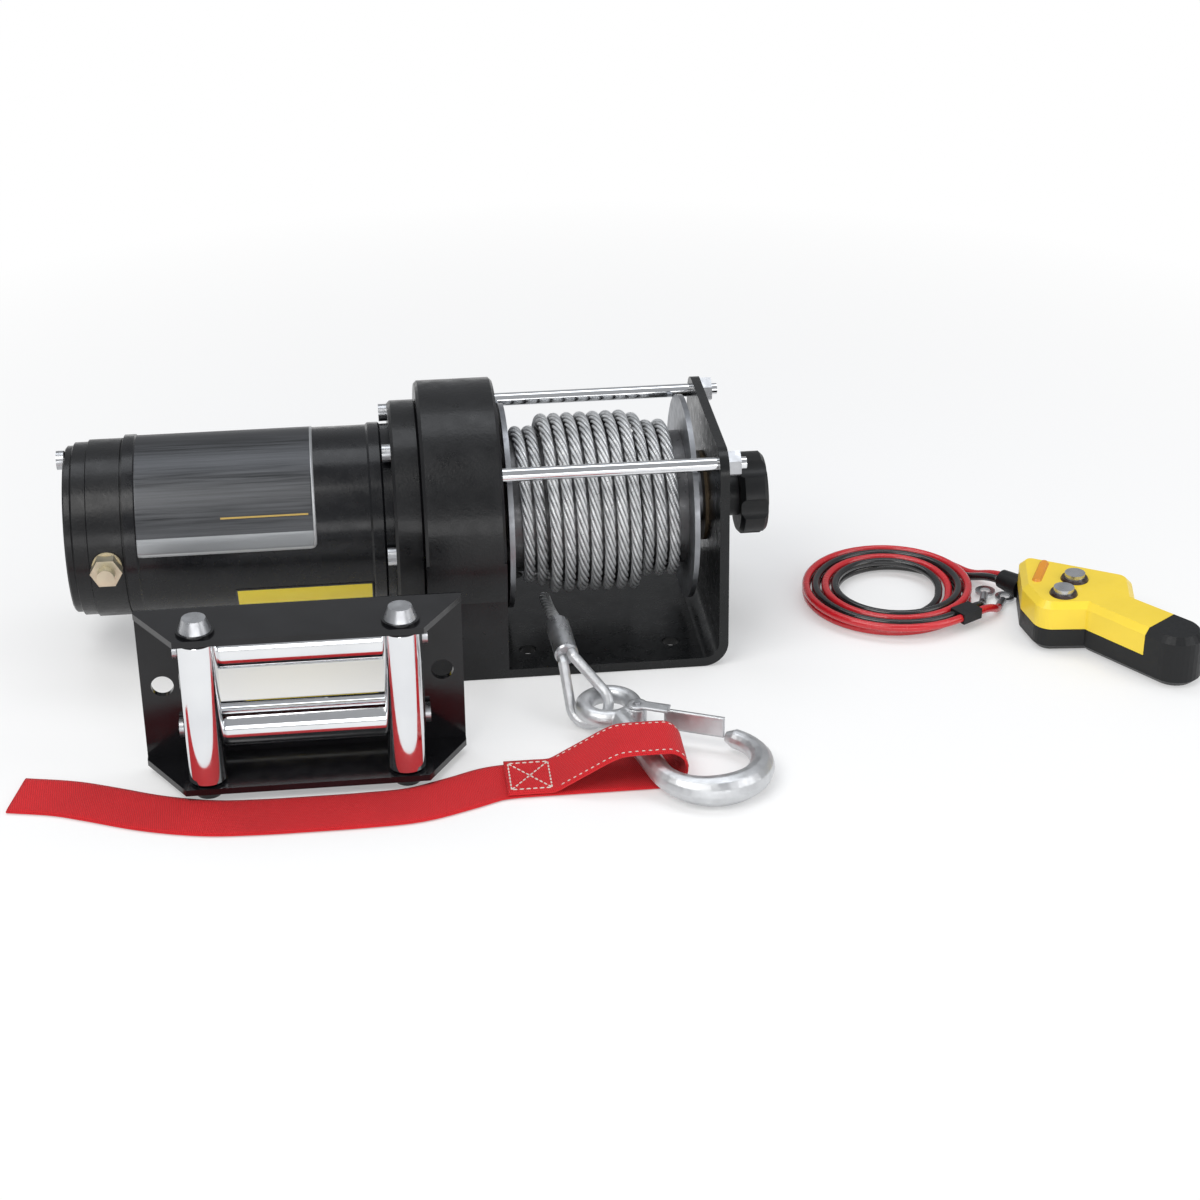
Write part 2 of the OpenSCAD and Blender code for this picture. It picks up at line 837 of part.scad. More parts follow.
module commutator() {
    x1 = commutator_left + commutator_length;
    color("#b87c4c")
        difference() {
            rod_x(commutator_left, x1, commutator_r);
            rod_x(commutator_left - overrun, x1 + overrun, shaft_r + seat_gap);
            for (i = [0:commutator_bars - 1])
                translate([0, 0, axis_height])
                    rotate([360 * i / commutator_bars, 0, 0])
                        translate([commutator_left - overrun, -flank_play, commutator_r - 1])
                            cube([commutator_length + 2 * overrun, 2 * flank_play, 1 + overrun]);
        }
}

// Gears: involute flanks, given as half angles at a few radii
function involute_angle(base_r, r) =
    let (a = acos(min(1, base_r / r))) tan(a) * 180 / PI - a;

function flank_angle(teeth, r, play) =
    let (pitch_r = gear_module * teeth / 2,
         base_r = pitch_r * cos(pressure_angle))
    90 / teeth + involute_angle(base_r, pitch_r) - involute_angle(base_r, max(r, base_r))
        - play / pitch_r * 180 / PI;

function gear_points(teeth, inner_r, outer_r, play, turn) =
    [for (tooth = [0:teeth - 1], flank = [-1, 1], i = [0:flank_steps])
        let (step = flank < 0 ? i : flank_steps - i,
             r = inner_r + (outer_r - inner_r) * step / flank_steps,
             a = turn + 360 * tooth / teeth + flank * flank_angle(teeth, r, play))
        r * [cos(a), sin(a)]];

module gear_outline(teeth, turn = 0) {
    pitch_r = gear_module * teeth / 2;
    polygon(gear_points(teeth, pitch_r - dedendum, pitch_r + addendum, flank_play, turn));
}

module about_axis(x) {
    translate([x, 0, axis_height])
        rotate([0, 90, 0])
            children();
}

module motor_shaft() {
    color("#aeb2b6") {
        rod_x(bell_left + bell_wall + 1, planet_left, shaft_r);
        about_axis(planet_left)
            linear_extrude(planet_length)
                gear_outline(sun_teeth, 180 / sun_teeth);
    }
}

module ring_gear() {
    pitch_r = gear_module * ring_teeth / 2;
    length = planet_length + gear_end_gap;
    color("#84898e")
        about_axis(planet_left - gear_end_gap / 2)
            difference() {
                cylinder(h = length, r = ring_outer_r);
                translate([0, 0, -overrun])
                    linear_extrude(length + 2 * overrun)
                        polygon(gear_points(ring_teeth, pitch_r - addendum, pitch_r + dedendum,
                            -flank_play, 0));
            }
}

module planet_gear(index) {
    color("#9aa0a5")
        about_axis(planet_left)
            rotate([0, 0, 360 * index / planet_count])
                translate([planet_orbit, 0, 0])
                    rotate([0, 0, -360 * index / planet_count])
                        difference() {
                            linear_extrude(planet_length)
                                gear_outline(planet_teeth);
                            translate([0, 0, -overrun])
                                cylinder(h = planet_length + 2 * overrun, r = planet_pin_r);
                        }
}

module planet_gear_1() {
    planet_gear(0);
}

module planet_gear_2() {
    planet_gear(1);
}

module planet_gear_3() {
    planet_gear(2);
}

module planet_carrier() {
    color("#74797e") {
        difference() {
            rod_x(carrier_left, carrier_right, carrier_r);
            hex_x(carrier_left - overrun, carrier_right + overrun, dog_across_flats + 2 * hex_gap);
        }
        about_axis(planet_left)
            for (i = [0:planet_count - 1])
                rotate([0, 0, 360 * i / planet_count])
                    translate([planet_orbit, 0, 0])
                        cylinder(h = carrier_left - planet_left, r = planet_pin_r - running_gap);
    }
}

// Drum and its rope
module drum() {
    color("#8f9498")
        difference() {
            revolve_x([
                [0, hub_left_end], [hub_left_r - running_gap, hub_left_end],
                [hub_left_r - running_gap, drum_left], [flange_r, drum_left],
                [flange_r, drum_left + flange_t], [barrel_r, drum_left + flange_t],
                [barrel_r, drum_right - flange_t], [flange_r, drum_right - flange_t],
                [flange_r, drum_right], [hub_right_r - running_gap, drum_right],
                [hub_right_r - running_gap, hub_right_end], [0, hub_right_end]
            ]);
            hex_x(hub_left_end - overrun, drum_hex_end, dog_across_flats + 2 * hex_gap);
            rod_x(drum_hex_end - overrun, hub_right_end + overrun, rod_r + running_gap);
        }
}

function wound_r(turn) =
    rope_low_r + (rope_high_r - rope_low_r)
        * (smooth((turn - climb_at_turn) * 2) - smooth((turn - drop_at_turn) * 2));

function wound_point(turn) =
    [wound_start + rope_pitch * turn,
     wound_r(turn) * cos(360 * turn), wound_r(turn) * sin(360 * turn) + axis_height];

wound_path = [for (i = [0:rope_turns * rings_per_turn]) wound_point(i / rings_per_turn)];
wound_ends = [
    wound_path[0] + 2 * rope_r * [0, 0, -1],
    wound_path[len(wound_path) - 1] + 2 * rope_r * [0, 0, 1]
];
rope_path = concat([wound_ends[0]], wound_path, [wound_ends[1]]);
echo("least gap between rope turns", self_gap(wound_path, rings_per_turn - 2, rope_r));

module rope_winding() {
    color("#a9adb0")
        swept_tube(rope_path, [for (p = rope_path) rope_r], rope_sides,
            [for (p = rope_path) [p.x, 0, axis_height] - p]);
}

module rope_layers() {
    low_r = rope_low_r - rope_r - rope_seat;
    high_r = rope_high_r - rope_r - rope_seat;
    step_up = wound_start + rope_pitch * (climb_at_turn + 0.5) + rope_r + clear_gap;
    step_down = wound_start + rope_pitch * drop_at_turn - rope_r - clear_gap;
    left = drum_left + flange_t + seat_gap;
    right = drum_right - flange_t - seat_gap;
    color("#8d9194")
        revolve_x([
            [barrel_r + seat_gap, left], [low_r, left], [low_r, step_up], [high_r, step_up],
            [high_r, step_down], [low_r, step_down], [low_r, right], [barrel_r + seat_gap, right]
        ]);
}

module bush(x0, x1, bore_r, collar_x) {
    difference() {
        union() {
            rod_x(x0, x1, bore_r + bush_wall);
            rod_x(collar_x, collar_x + bush_collar_t, bush_collar_r);
        }
        rod_x(min(x0, collar_x) - overrun, max(x1, collar_x + bush_collar_t) + overrun, bore_r);
    }
}

module drum_bushes() {
    color("#b08d4a") {
        bush(housing_right - housing_wall, housing_right, hub_left_r, housing_right);
        bush(leg_inner, leg_outer, hub_right_r, leg_inner - bush_collar_t);
    }
}

// Clutch: a rod pulls a six sided dog out of the planet carrier
module clutch_dog() {
    color("#9aa0a5")
        difference() {
            hex_x(dog_left, dog_left + dog_length, dog_across_flats);
            rod_x(dog_left - overrun, dog_left + dog_length + overrun, dog_bore_r);
            rod_x(dog_left - overrun, dog_left + rod_head_t + seat_gap, rod_head_r + seat_gap);
        }
}

module clutch_spring() {
    rest_length = clutch_travel + spring_space - 2 * (spring_wire_r + soft_gap);
    start = dog_left + dog_length + spring_wire_r + soft_gap;
    path = [for (i = [0:8 * spring_curls])
        [start + rest_length * i / (8 * spring_curls), spring_r * cos(45 * i),
         axis_height + spring_r * sin(45 * i)]];
    color("#b9bdc2")
        swept_tube(path, [for (p = path) spring_wire_r], 6,
            [for (p = path) [p.x, 0, axis_height] - p]);
}

module clutch_rod() {
    color("#aeb2b6") {
        rod_x(dog_left, knob_start + knob_length / 2, rod_r);
        rod_x(dog_left, dog_left + rod_head_t, rod_head_r);
    }
}

module clutch_knob() {
    lobe_r = knob_r * 0.42;
    color("#16171a")
        difference() {
            union() {
                rod_x(neck_start, knob_start, neck_r);
                revolve_x([
                    [0, knob_start], [knob_r - knob_chamfer, knob_start],
                    [knob_r, knob_start + knob_chamfer], [knob_r, knob_end - knob_chamfer],
                    [knob_r - knob_chamfer, knob_end], [0, knob_end]
                ]);
            }
            each_screw(knob_r + lobe_r * 0.72, knob_lobes)
                x_cylinder(knob_start - overrun, knob_end + overrun, lobe_r);
            rod_x(neck_start - overrun, knob_start + knob_length / 2, rod_r);
        }
}

module tie_rods() {
    color("#d5d8db")
        each_tie_rod() {
            x_cylinder(housing_right - tie_thread + 1, leg_inner, tie_rod_r);
            x_cylinder(leg_inner, leg_outer + tie_end_length, tie_end_r);
        }
}

module tie_rod_nuts() {
    color("#c3c6ca")
        each_tie_rod()
            difference() {
                translate([leg_outer, 0, 0])
                    rotate([0, 90, 0])
                        cylinder(h = tie_nut_t, r = tie_nut_across_flats / 2 / cos(30), $fn = 6);
                x_cylinder(leg_outer - overrun, leg_outer + tie_nut_t + overrun, tie_end_r + seat_gap);
            }
}

// Fairlead, in its own frame: the plate's back is at y = 0, its middle at x = 0
module at_fairlead() {
    translate([fairlead_x, fairlead_y, 0])
        children();
}

module fairlead_bend_cut() {
    difference() {
        square(fairlead_bend_r);
        circle(fairlead_bend_r);
    }
}

// Side view of the bent plate: x is the way forward and y is height
module channel_profile() {
    difference() {
        translate([0, fairlead_bottom])
            square([flange_depth, fairlead_height]);
        translate([fairlead_t, fairlead_bottom + fairlead_t])
            square([flange_depth, fairlead_height - 2 * fairlead_t]);
        translate([fairlead_bend_r, fairlead_top - fairlead_bend_r])
            mirror([1, 0])
                fairlead_bend_cut();
        translate([fairlead_bend_r, fairlead_bottom + fairlead_bend_r])
            mirror([1, 0])
                mirror([0, 1])
                    fairlead_bend_cut();
    }
}

module fairlead_plan() {
    ear_half = upright_spacing / 2 + ear_margin;
    back_half = fairlead_width / 2;
    polygon([
        [-back_half, overrun], [back_half, overrun], [back_half, -2 * fairlead_t],
        [ear_half, -flange_depth - overrun], [-ear_half, -flange_depth - overrun],
        [-back_half, -2 * fairlead_t]
    ]);
}

module fairlead_frame() {
    pin_half = window_half + cheek_t;
    color("#222427")
        at_fairlead()
            difference() {
                union() {
                    intersection() {
                        translate([-fairlead_width / 2, 0, 0])
                            rotate([90, 0, 90])
                                linear_extrude(fairlead_width)
                                    mirror([1, 0])
                                        channel_profile();
                        linear_extrude(fairlead_top + overrun)
                            fairlead_plan();
                    }
                    for (side = [-1, 1])
                        translate([side * (window_half + cheek_t / 2) - cheek_t / 2,
                            -level_forward - roller_pin_r - cheek_t,
                            fairlead_mid - level_offset - level_r])
                            cube([cheek_t, level_forward + roller_pin_r + cheek_t - fairlead_t / 2,
                                2 * (level_offset + level_r)]);
                }
                translate([-window_half, -2 * fairlead_t, fairlead_mid - window_half_height])
                    cube([2 * window_half, 2 * fairlead_t + overrun, 2 * window_half_height]);
                for (side = [-1, 1]) {
                    translate([side * fairlead_spacing / 2, overrun, fairlead_mid])
                        rotate([90, 0, 0])
                            cylinder(h = fairlead_t + 2 * overrun, r = fairlead_hole_r);
                    translate([side * upright_spacing / 2, -upright_forward, 0])
                        cylinder(h = fairlead_top + overrun, r = roller_pin_r + seat_gap);
                    translate([-pin_half - cheek_t - seat_gap, -level_forward,
                        fairlead_mid + side * level_offset])
                        rotate([0, 90, 0])
                            cylinder(h = 2 * (pin_half + cheek_t + seat_gap),
                                r = roller_pin_r + seat_gap);
                    for (end = [-1, 1])
                        translate([end * (pin_half + (cheek_t + seat_gap) / 2), -level_forward,
                            fairlead_mid + side * level_offset])
                            rotate([0, 90, 0])
                                cylinder(h = cheek_t + seat_gap, r = level_head_r + seat_gap,
                                    center = true);
                }
            }
}

module fairlead_pins() {
    head_z = fairlead_top + washer_t;
    pin_half = window_half + cheek_t;
    color("#c9cccf")
        at_fairlead()
            for (side = [-1, 1]) {
                translate([side * upright_spacing / 2, -upright_forward, 0]) {
                    translate([0, 0, 1])
                        cylinder(h = head_z - 1, r = roller_pin_r);
                    translate([0, 0, head_z])
                        cylinder(h = pin_head_h, r1 = pin_head_r, r2 = pin_head_r * 0.72);
                }
                translate([0, -level_forward, fairlead_mid + side * level_offset])
                    rotate([0, 90, 0]) {
                        translate([0, 0, -pin_half - cheek_t / 2])
                            cylinder(h = 2 * pin_half + cheek_t, r = roller_pin_r);
                        for (end = [-1, 1])
                            translate([0, 0, end * (pin_half + cheek_t / 2) - cheek_t / 2])
                                cylinder(h = cheek_t, r = level_head_r);
                    }
            }
}

module fairlead_nuts() {
    color("#1a1b1d")
        at_fairlead()
            for (side = [-1, 1])
                translate([side * upright_spacing / 2, -upright_forward, 0]) {
                    difference() {
                        cylinder(h = low_nut_h, r1 = low_nut_r * 0.8, r2 = low_nut_r);
                        translate([0, 0, 1 - seat_gap])
                            cylinder(h = low_nut_h, r = roller_pin_r + seat_gap);
                    }
                    translate([0, 0, fairlead_top])
                        difference() {
                            cylinder(h = washer_t, r = washer_r);
                            translate([0, 0, -overrun])
                                cylinder(h = washer_t + 2 * overrun, r = roller_pin_r + seat_gap);
                        }
                }
}

module roller(length, r) {
    bore_r = roller_pin_r + running_gap;
    rotate_extrude()
        polygon([
            [bore_r, 0], [r - roller_chamfer, 0], [r, roller_chamfer],
            [r, length - roller_chamfer], [r - roller_chamfer, length], [bore_r, length]
        ]);
}

module upright_roller(side) {
    low = fairlead_bottom + fairlead_t + roller_end_gap;
    high = fairlead_top - fairlead_t - roller_end_gap;
    color("#dfe1e4")
        at_fairlead()
            translate([side * upright_spacing / 2, -upright_forward, low])
                roller(high - low, upright_r);
}

module level_roller(side) {
    color("#dfe1e4")
        at_fairlead()
            translate([-level_half, -level_forward, fairlead_mid + side * level_offset])
                rotate([0, 90, 0])
                    roller(2 * level_half, level_r);
}

module roller_left() {
    upright_roller(-1);
}

module roller_right() {
    upright_roller(1);
}

module roller_upper() {
    level_roller(1);
}

module roller_lower() {
    level_roller(-1);
}

// Rope end
module rope_tail() {
    color("#a9adb0")
        plain_tube(tail_route, rope_r, 10);
}

// Draws along a direction from a point
module aimed(from, way) {
    turn_z = atan2(way.y, way.x);
    turn_y = atan2(norm([way.x, way.y]), way.z);
    translate(from)
        rotate([0, turn_y, turn_z])
            children();
}

module rope_ferrule() {
    color("#b4b8bb")
        aimed(ferrule_start, ferrule_way)
            rotate_extrude()
                polygon([
                    [0, 0], [ferrule_r - 1.2, 0], [ferrule_r, 2], [ferrule_r, ferrule_length - 1],
                    [ferrule_r - 0.6, ferrule_length], [0, ferrule_length]
                ]);
}

// Thimble: a teardrop of bar, open at the ferrule
thimble_line = unit(thimble_toe - thimble_apex);
thimble_flat = unit(cross([0, 0, 1], thimble_line));
thimble_across = turned(thimble_flat, thimble_line, thimble_roll);
thimble_face = cross(thimble_line, thimble_across);
thimble_centre = norm(thimble_toe - thimble_apex) - thimble_half_width;
thimble_open = 90 - acos(thimble_half_width / thimble_centre);
ferrule_end = ferrule_start + unit(ferrule_way) * ferrule_length;

function thimble_arc(a) =
    thimble_apex + thimble_line * (thimble_centre + thimble_half_width * cos(a))
        + thimble_across * thimble_half_width * sin(a);

module rope_thimble() {
    neck = thimble_bar_r + seat_gap;
    reach = 90 + thimble_open;
    arc = [for (i = [0:20]) thimble_arc(-reach + 2 * reach * i / 20)];
    way = unit(ferrule_way);
    apart = unit(thimble_across - way * (thimble_across * way));
    start = ferrule_end + way * seat_gap - apart * neck;
    finish = ferrule_end + way * seat_gap + apart * neck;
    lead_in = way * thimble_bar_r;
    path = concat([start, start + lead_in], arc, [finish + lead_in, finish]);
    color("#9ea4a9")
        swept_tube(path, [for (p = path) thimble_bar_r], thimble_sides,
            [for (p = path) thimble_face]);
}

// Hook, in its own frame: the eye is at the origin and the bowl along +x
module at_hook() {
    translate([eye_x, eye_y, 0])
        rotate([0, 0, hook_turn])
            children();
}

shank_angle = asin(bowl_r / hook_reach);
shank_length = sqrt(hook_reach * hook_reach - bowl_r * bowl_r);
bowl_start_angle = -90 - shank_angle;
settle_length = shank_length * 1.5;

function hook_height(along) =
    eye_z + (hook_z - eye_z) * smooth(along / settle_length);

function shank_point(along) =
    [along * cos(shank_angle), -along * sin(shank_angle), hook_height(along)];

function bowl_point(share) =
    let (a = bowl_start_angle + bowl_sweep * share)
    [hook_reach + bowl_r * cos(a), bowl_r * sin(a),
     hook_height(shank_length + bowl_r * PI / 180 * bowl_sweep * share)];

// Bar radius along the bowl: thickest at the bottom, thin at the tip
function bowl_bar(share) =
    share < 0.4 ? shank_r + (hook_bar_r - shank_r) * smooth(share / 0.4)
                : hook_bar_r + (tip_r - hook_bar_r) * smooth((share - 0.4) / 0.6);

hook_path = concat(
    [for (i = [0:shank_steps]) shank_point(eye_r + (shank_length - eye_r) * i / (shank_steps + 1))],
    [for (i = [0:bowl_steps]) bowl_point(i / bowl_steps)],
    [bowl_point(1 + 1.2 / bowl_steps)]
);
hook_radii = concat(
    [for (i = [0:shank_steps]) shank_r],
    [for (i = [0:bowl_steps]) bowl_bar(i / bowl_steps)],
    [tip_r * 0.55]
);

module hook() {
    color("#b9bec3")
        at_hook()
            difference() {
                union() {
                    translate([0, 0, eye_z])
                        rotate_extrude()
                            translate([eye_r, 0])
                                circle(eye_bar_r, $fn = 32);
                    swept_tube(hook_path, hook_radii, hook_sides,
                        [for (p = hook_path) [0, 0, 1]]);
                    translate([latch_pivot.x, latch_pivot.y, latch_z - latch_boss_half])
                        cylinder(h = 2 * latch_boss_half, r = latch_boss_r, $fn = 32);
                }
                translate([latch_pivot.x, latch_pivot.y, 0])
                    cylinder(h = 2 * eye_z, r = latch_pin_r + running_gap, $fn = 32);
            }
}

latch_z = hook_height(norm(latch_pivot));
latch_half = latch_boss_half + clear_gap + latch_cheek_t;

module latch_pin() {
    pin_half = latch_half + 1;
    color("#c9cccf")
        at_hook()
            translate([latch_pivot.x, latch_pivot.y, latch_z - pin_half])
                cylinder(h = 2 * pin_half, r = latch_pin_r, $fn = 32);
}

module hook_latch() {
    tip = bowl_point(1);
    way = [tip.x - latch_pivot.x, tip.y - latch_pivot.y];
    web_end = norm(way) - tip_r - clear_gap;
    color("#a7acb1")
        at_hook()
            translate([latch_pivot.x, latch_pivot.y, latch_z])
                rotate([0, 0, atan2(way.y, way.x)]) {
                    for (side = [-1, 1])
                        translate([0, 0, side * (latch_half - latch_cheek_t / 2) - latch_cheek_t / 2])
                            difference() {
                                union() {
                                    cylinder(h = latch_cheek_t, r = latch_cheek_r);
                                    translate([0, -latch_cheek_r * 0.7, 0])
                                        cube([latch_cheek_length, latch_cheek_r * 1.4, latch_cheek_t]);
                                }
                                translate([0, 0, -overrun])
                                    cylinder(h = latch_cheek_t + 2 * overrun,
                                        r = latch_pin_r + running_gap, $fn = 32);
                            }
                    translate([latch_web_start, -latch_w / 2, latch_cheek_t - latch_half])
                        cube([latch_cheek_length - latch_web_start, latch_w,
                            2 * (latch_half - latch_cheek_t)]);
                    translate([latch_cheek_length, -latch_w / 2, -latch_web_h / 2])
                        cube([web_end - latch_cheek_length, latch_w, latch_web_h]);
                }
}

// Strap: a loop sewn round the hook's shank, and a tail along the ground
function loop_arc(r) =
    [for (i = [0:10]) [loop_fold_x - loop_half_h + r * cos(18 * i - 90), loop_half_h + r * sin(18 * i - 90)]];

module strap_loop() {
    outside = concat(
        [[stitch_right, 0]], loop_arc(loop_half_h),
        [[loop_rise_x, 2 * loop_half_h], [stitch_right, 2 * strap_t], [stitch_left, 2 * strap_t],
         [stitch_left, strap_t], [stitch_right, strap_t]]
    );
    inside = concat(
        [[stitch_right + 0.7 * strap_t, strap_t]], loop_arc(loop_half_h - strap_t),
        [[loop_rise_x + 0.3 * strap_t, 2 * loop_half_h - strap_t]]
    );
    color("#d3202a")
        translate([0, loop_y + strap_width / 2, 0])
            rotate([90, 0, 0])
                linear_extrude(strap_width)
                    difference() {
                        polygon(outside);
                        polygon(inside);
                    }
}

// A band of even width along a flat route
function band_side(route, half) =
    [for (i = [0:len(route) - 1])
        let (h = heading(route, i)) route[i] + half * [-h.y, h.x]];

module strap_tail() {
    near = band_side(strap_tail_route, strap_width / 2);
    far = band_side(strap_tail_route, -strap_width / 2);
    color("#d3202a")
        linear_extrude(strap_t)
            polygon(concat(near, [for (i = [len(far) - 1:-1:0]) far[i]]));
}

// Handset, in its own frame, lying on its rear shell
module at_handset() {
    translate([handset_x, handset_y, 0])
        children();
}

// A rounded slab round a set of circles [x, y, r]
module round_slab(circles, h, low_round, high_round) {
    hull()
        for (c = circles)
            translate([c.x, c.y, 0]) {
                translate([0, 0, low_round])
                    cylinder(h = h - low_round - high_round, r = c.z, $fn = 32);
                cylinder(h = h, r = c.z - shell_round, $fn = 32);
            }
}

module butt_space(side) {
    translate([grip_circles[0].x, grip_circles[0].y, -overrun])
        rotate([0, 0, grip_angle])
            translate([butt_start + side * shell_seam, -butt_box, 0])
                cube([2 * butt_box, 2 * butt_box, rear_shell_h + front_shell_h + 2 * overrun]);
}

module handset_front() {
    seam = rear_shell_h + shell_seam;
    top = rear_shell_h + front_shell_h;
    color("#f4c81f")
        at_handset()
            difference() {
                translate([0, 0, seam]) {
                    round_slab(head_circles, top - seam, 0, shell_round);
                    round_slab(grip_circles, top - seam, 0, shell_round);
                }
                butt_space(-1);
                for (at = [button_in_at, button_out_at])
                    translate([at.x, at.y, top - button_depth])
                        cylinder(h = button_depth + overrun, r = button_r + running_gap);
            }
}

module handset_ridge() {
    color("#e8951c")
        at_handset()
            hull()
                for (p = [ridge_from, ridge_to])
                    translate([p.x, p.y, rear_shell_h + front_shell_h])
                        cylinder(h = ridge_rise, r1 = ridge_w, r2 = ridge_w * 0.6, $fn = 24);
}

module handset_rear() {
    color("#1a1b1d")
        at_handset() {
            round_slab(head_circles, rear_shell_h, shell_round, 0);
            round_slab(bump_circles, rear_shell_h, shell_round, 1);
            intersection() {
                round_slab(grip_circles, rear_shell_h + front_shell_h, shell_round, shell_round);
                union() {
                    butt_space(0);
                    translate([-butt_box, -3 * butt_box, 0])
                        cube([4 * butt_box, 5 * butt_box, rear_shell_h]);
                }
            }
        }
}

module button_bezels() {
    top = rear_shell_h + front_shell_h;
    color("#3b2723")
        at_handset()
            for (at = [button_in_at, button_out_at])
                translate([at.x, at.y, top])
                    difference() {
                        cylinder(h = bezel_rise, r1 = button_r + bezel_w, r2 = button_r + bezel_w * 0.7);
                        translate([0, 0, -overrun])
                            cylinder(h = bezel_rise + 2 * overrun, r = button_r + seat_gap);
                    }
}

module push_button(at) {
    top = rear_shell_h + front_shell_h;
    color("#c9cdd1")
        at_handset()
            translate([at.x, at.y, top - button_body])
                cylinder(h = button_body + button_rise + button_travel / 2, r = button_r);
}

module button_in() {
    push_button(button_in_at);
}

module button_out() {
    push_button(button_out_at);
}

module strain_relief() {
    color("#1a1b1d")
        at_handset()
            translate([relief_start.x, relief_start.y, relief_z])
                rotate([0, 90, relief_angle])
                    cylinder(h = relief_length, r1 = relief_r1, r2 = relief_r2);
}

// Leads: loops spiral in on the ground and out again on top
coil_end_turn = coil_turns;

function coil_point(turn, lane) =
    let (from_middle = turn - coil_end_turn / 2,
         r = coil_r - lane * lead_pitch - 2 * lead_pitch * (coil_end_turn / 2 - abs(from_middle)),
         a = coil_start_angle + 360 * turn)
    [coil_x + r * cos(a), coil_y + r * sin(a),
     lead_r + lead_pitch * smooth(2 * from_middle + 0.5)];

function coil_path(lane) =
    let (steps = round(coil_end_turn * rings_per_turn))
    [for (i = [0:steps]) coil_point(coil_end_turn * i / steps, lane)];

function pair_gap(a, b, r) =
    min([for (p = a, q = b) norm(p - q)]) - 2 * r;

red_coil = coil_path(0);
black_coil = coil_path(1);
echo("least gap between lead turns", min([
    self_gap(red_coil, rings_per_turn - 2, lead_r),
    self_gap(black_coil, rings_per_turn - 2, lead_r),
    pair_gap(red_coil, black_coil, lead_r)]));

// A route that stops short of its neighbours
function inset_ends(route, first, last) =
    let (n = len(route) - 1)
    concat([route[0] + unit(route[1] - route[0]) * first],
        [for (i = [1:1:n - 1]) route[i]],
        [route[n] + unit(route[n - 1] - route[n]) * last]);

function lead_pieces(run, stub, end) = [
    inset_ends(run, 0, lead_join_gap), inset_ends(stub, lead_join_gap, seat_gap),
    inset_ends(end, seat_gap, lead_join_gap)
];

module lead_red_run() {
    color("#b3222b")
        for (route = lead_pieces(red_run, red_stub, red_end))
            plain_tube(route, lead_r, lead_sides);
}

module lead_black_run() {
    color("#1b1b1d")
        for (route = lead_pieces(black_run, black_stub, black_end))
            plain_tube(route, lead_r, lead_sides);
}

module lead_red_coil() {
    color("#b3222b")
        plain_tube(red_coil, lead_r, coil_sides);
}

module lead_black_coil() {
    color("#1b1b1d")
        plain_tube(black_coil, lead_r, coil_sides);
}

module lead_connector() {
    color("#1b1b1d")
        translate([connector_start.x, connector_start.y, connector_z])
            rotate([0, 0, connector_angle])
                translate([0, -connector_w / 2, -connector_h / 2])
                    cube([connector_length, connector_w, connector_h]);
}

module ring_terminals() {
    reach = terminal_barrel_length + terminal_ring_r - overrun;
    color("#c9cccf")
        for (route = [red_end, black_end]) {
            last = len(route) - 1;
            way = route[last] - route[last - 1];
            translate(route[last])
                rotate([0, 0, atan2(way.y, way.x)])
                    difference() {
                        union() {
                            rotate([0, 90, 0])
                                cylinder(h = terminal_barrel_length, r = terminal_barrel_r);
                            translate([reach, 0, -terminal_t / 2])
                                cylinder(h = terminal_t, r = terminal_ring_r);
                        }
                        translate([reach, 0, -terminal_t])
                            cylinder(h = 2 * terminal_t, r = terminal_hole_r);
                    }
        }
}

base_frame();
gear_housing();
gear_cover();
motor_adapter();
housing_screws();
motor_can();
motor_end_bell();
through_bolts();
terminal_insulators();
terminal_studs();
motor_bearings();
magnets();
brush_gear();
armature_core();
commutator();
motor_shaft();
ring_gear();
planet_gear_1();
planet_gear_2();
planet_gear_3();
planet_carrier();
drum();
rope_layers();
rope_winding();
drum_bushes();
clutch_dog();
clutch_spring();
clutch_rod();
clutch_knob();
tie_rods();
tie_rod_nuts();
fairlead_frame();
fairlead_pins();
fairlead_nuts();
roller_left();
roller_right();
roller_upper();
roller_lower();
rope_tail();
rope_ferrule();
rope_thimble();
hook();
latch_pin();
hook_latch();
strap_loop();
strap_tail();
handset_front();
handset_ridge();
handset_rear();
button_bezels();
button_in();
button_out();
strain_relief();
lead_red_run();
lead_red_coil();
lead_black_run();
lead_black_coil();
lead_connector();
ring_terminals();
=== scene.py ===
"""Studio scene of an electric recovery winch, its fairlead, hook, strap and handset.

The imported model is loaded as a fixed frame. This script gives every node a
procedural material, replaces the soft and wound solids with stranded rope, woven
webbing and moulded leads, and sets up the camera, the floor and the light.
"""

from __future__ import annotations

import json
import logging
import math
from dataclasses import dataclass, field
from enum import Enum
from typing import Callable, Iterable, Sequence

import bpy
from mathutils import Matrix, Vector

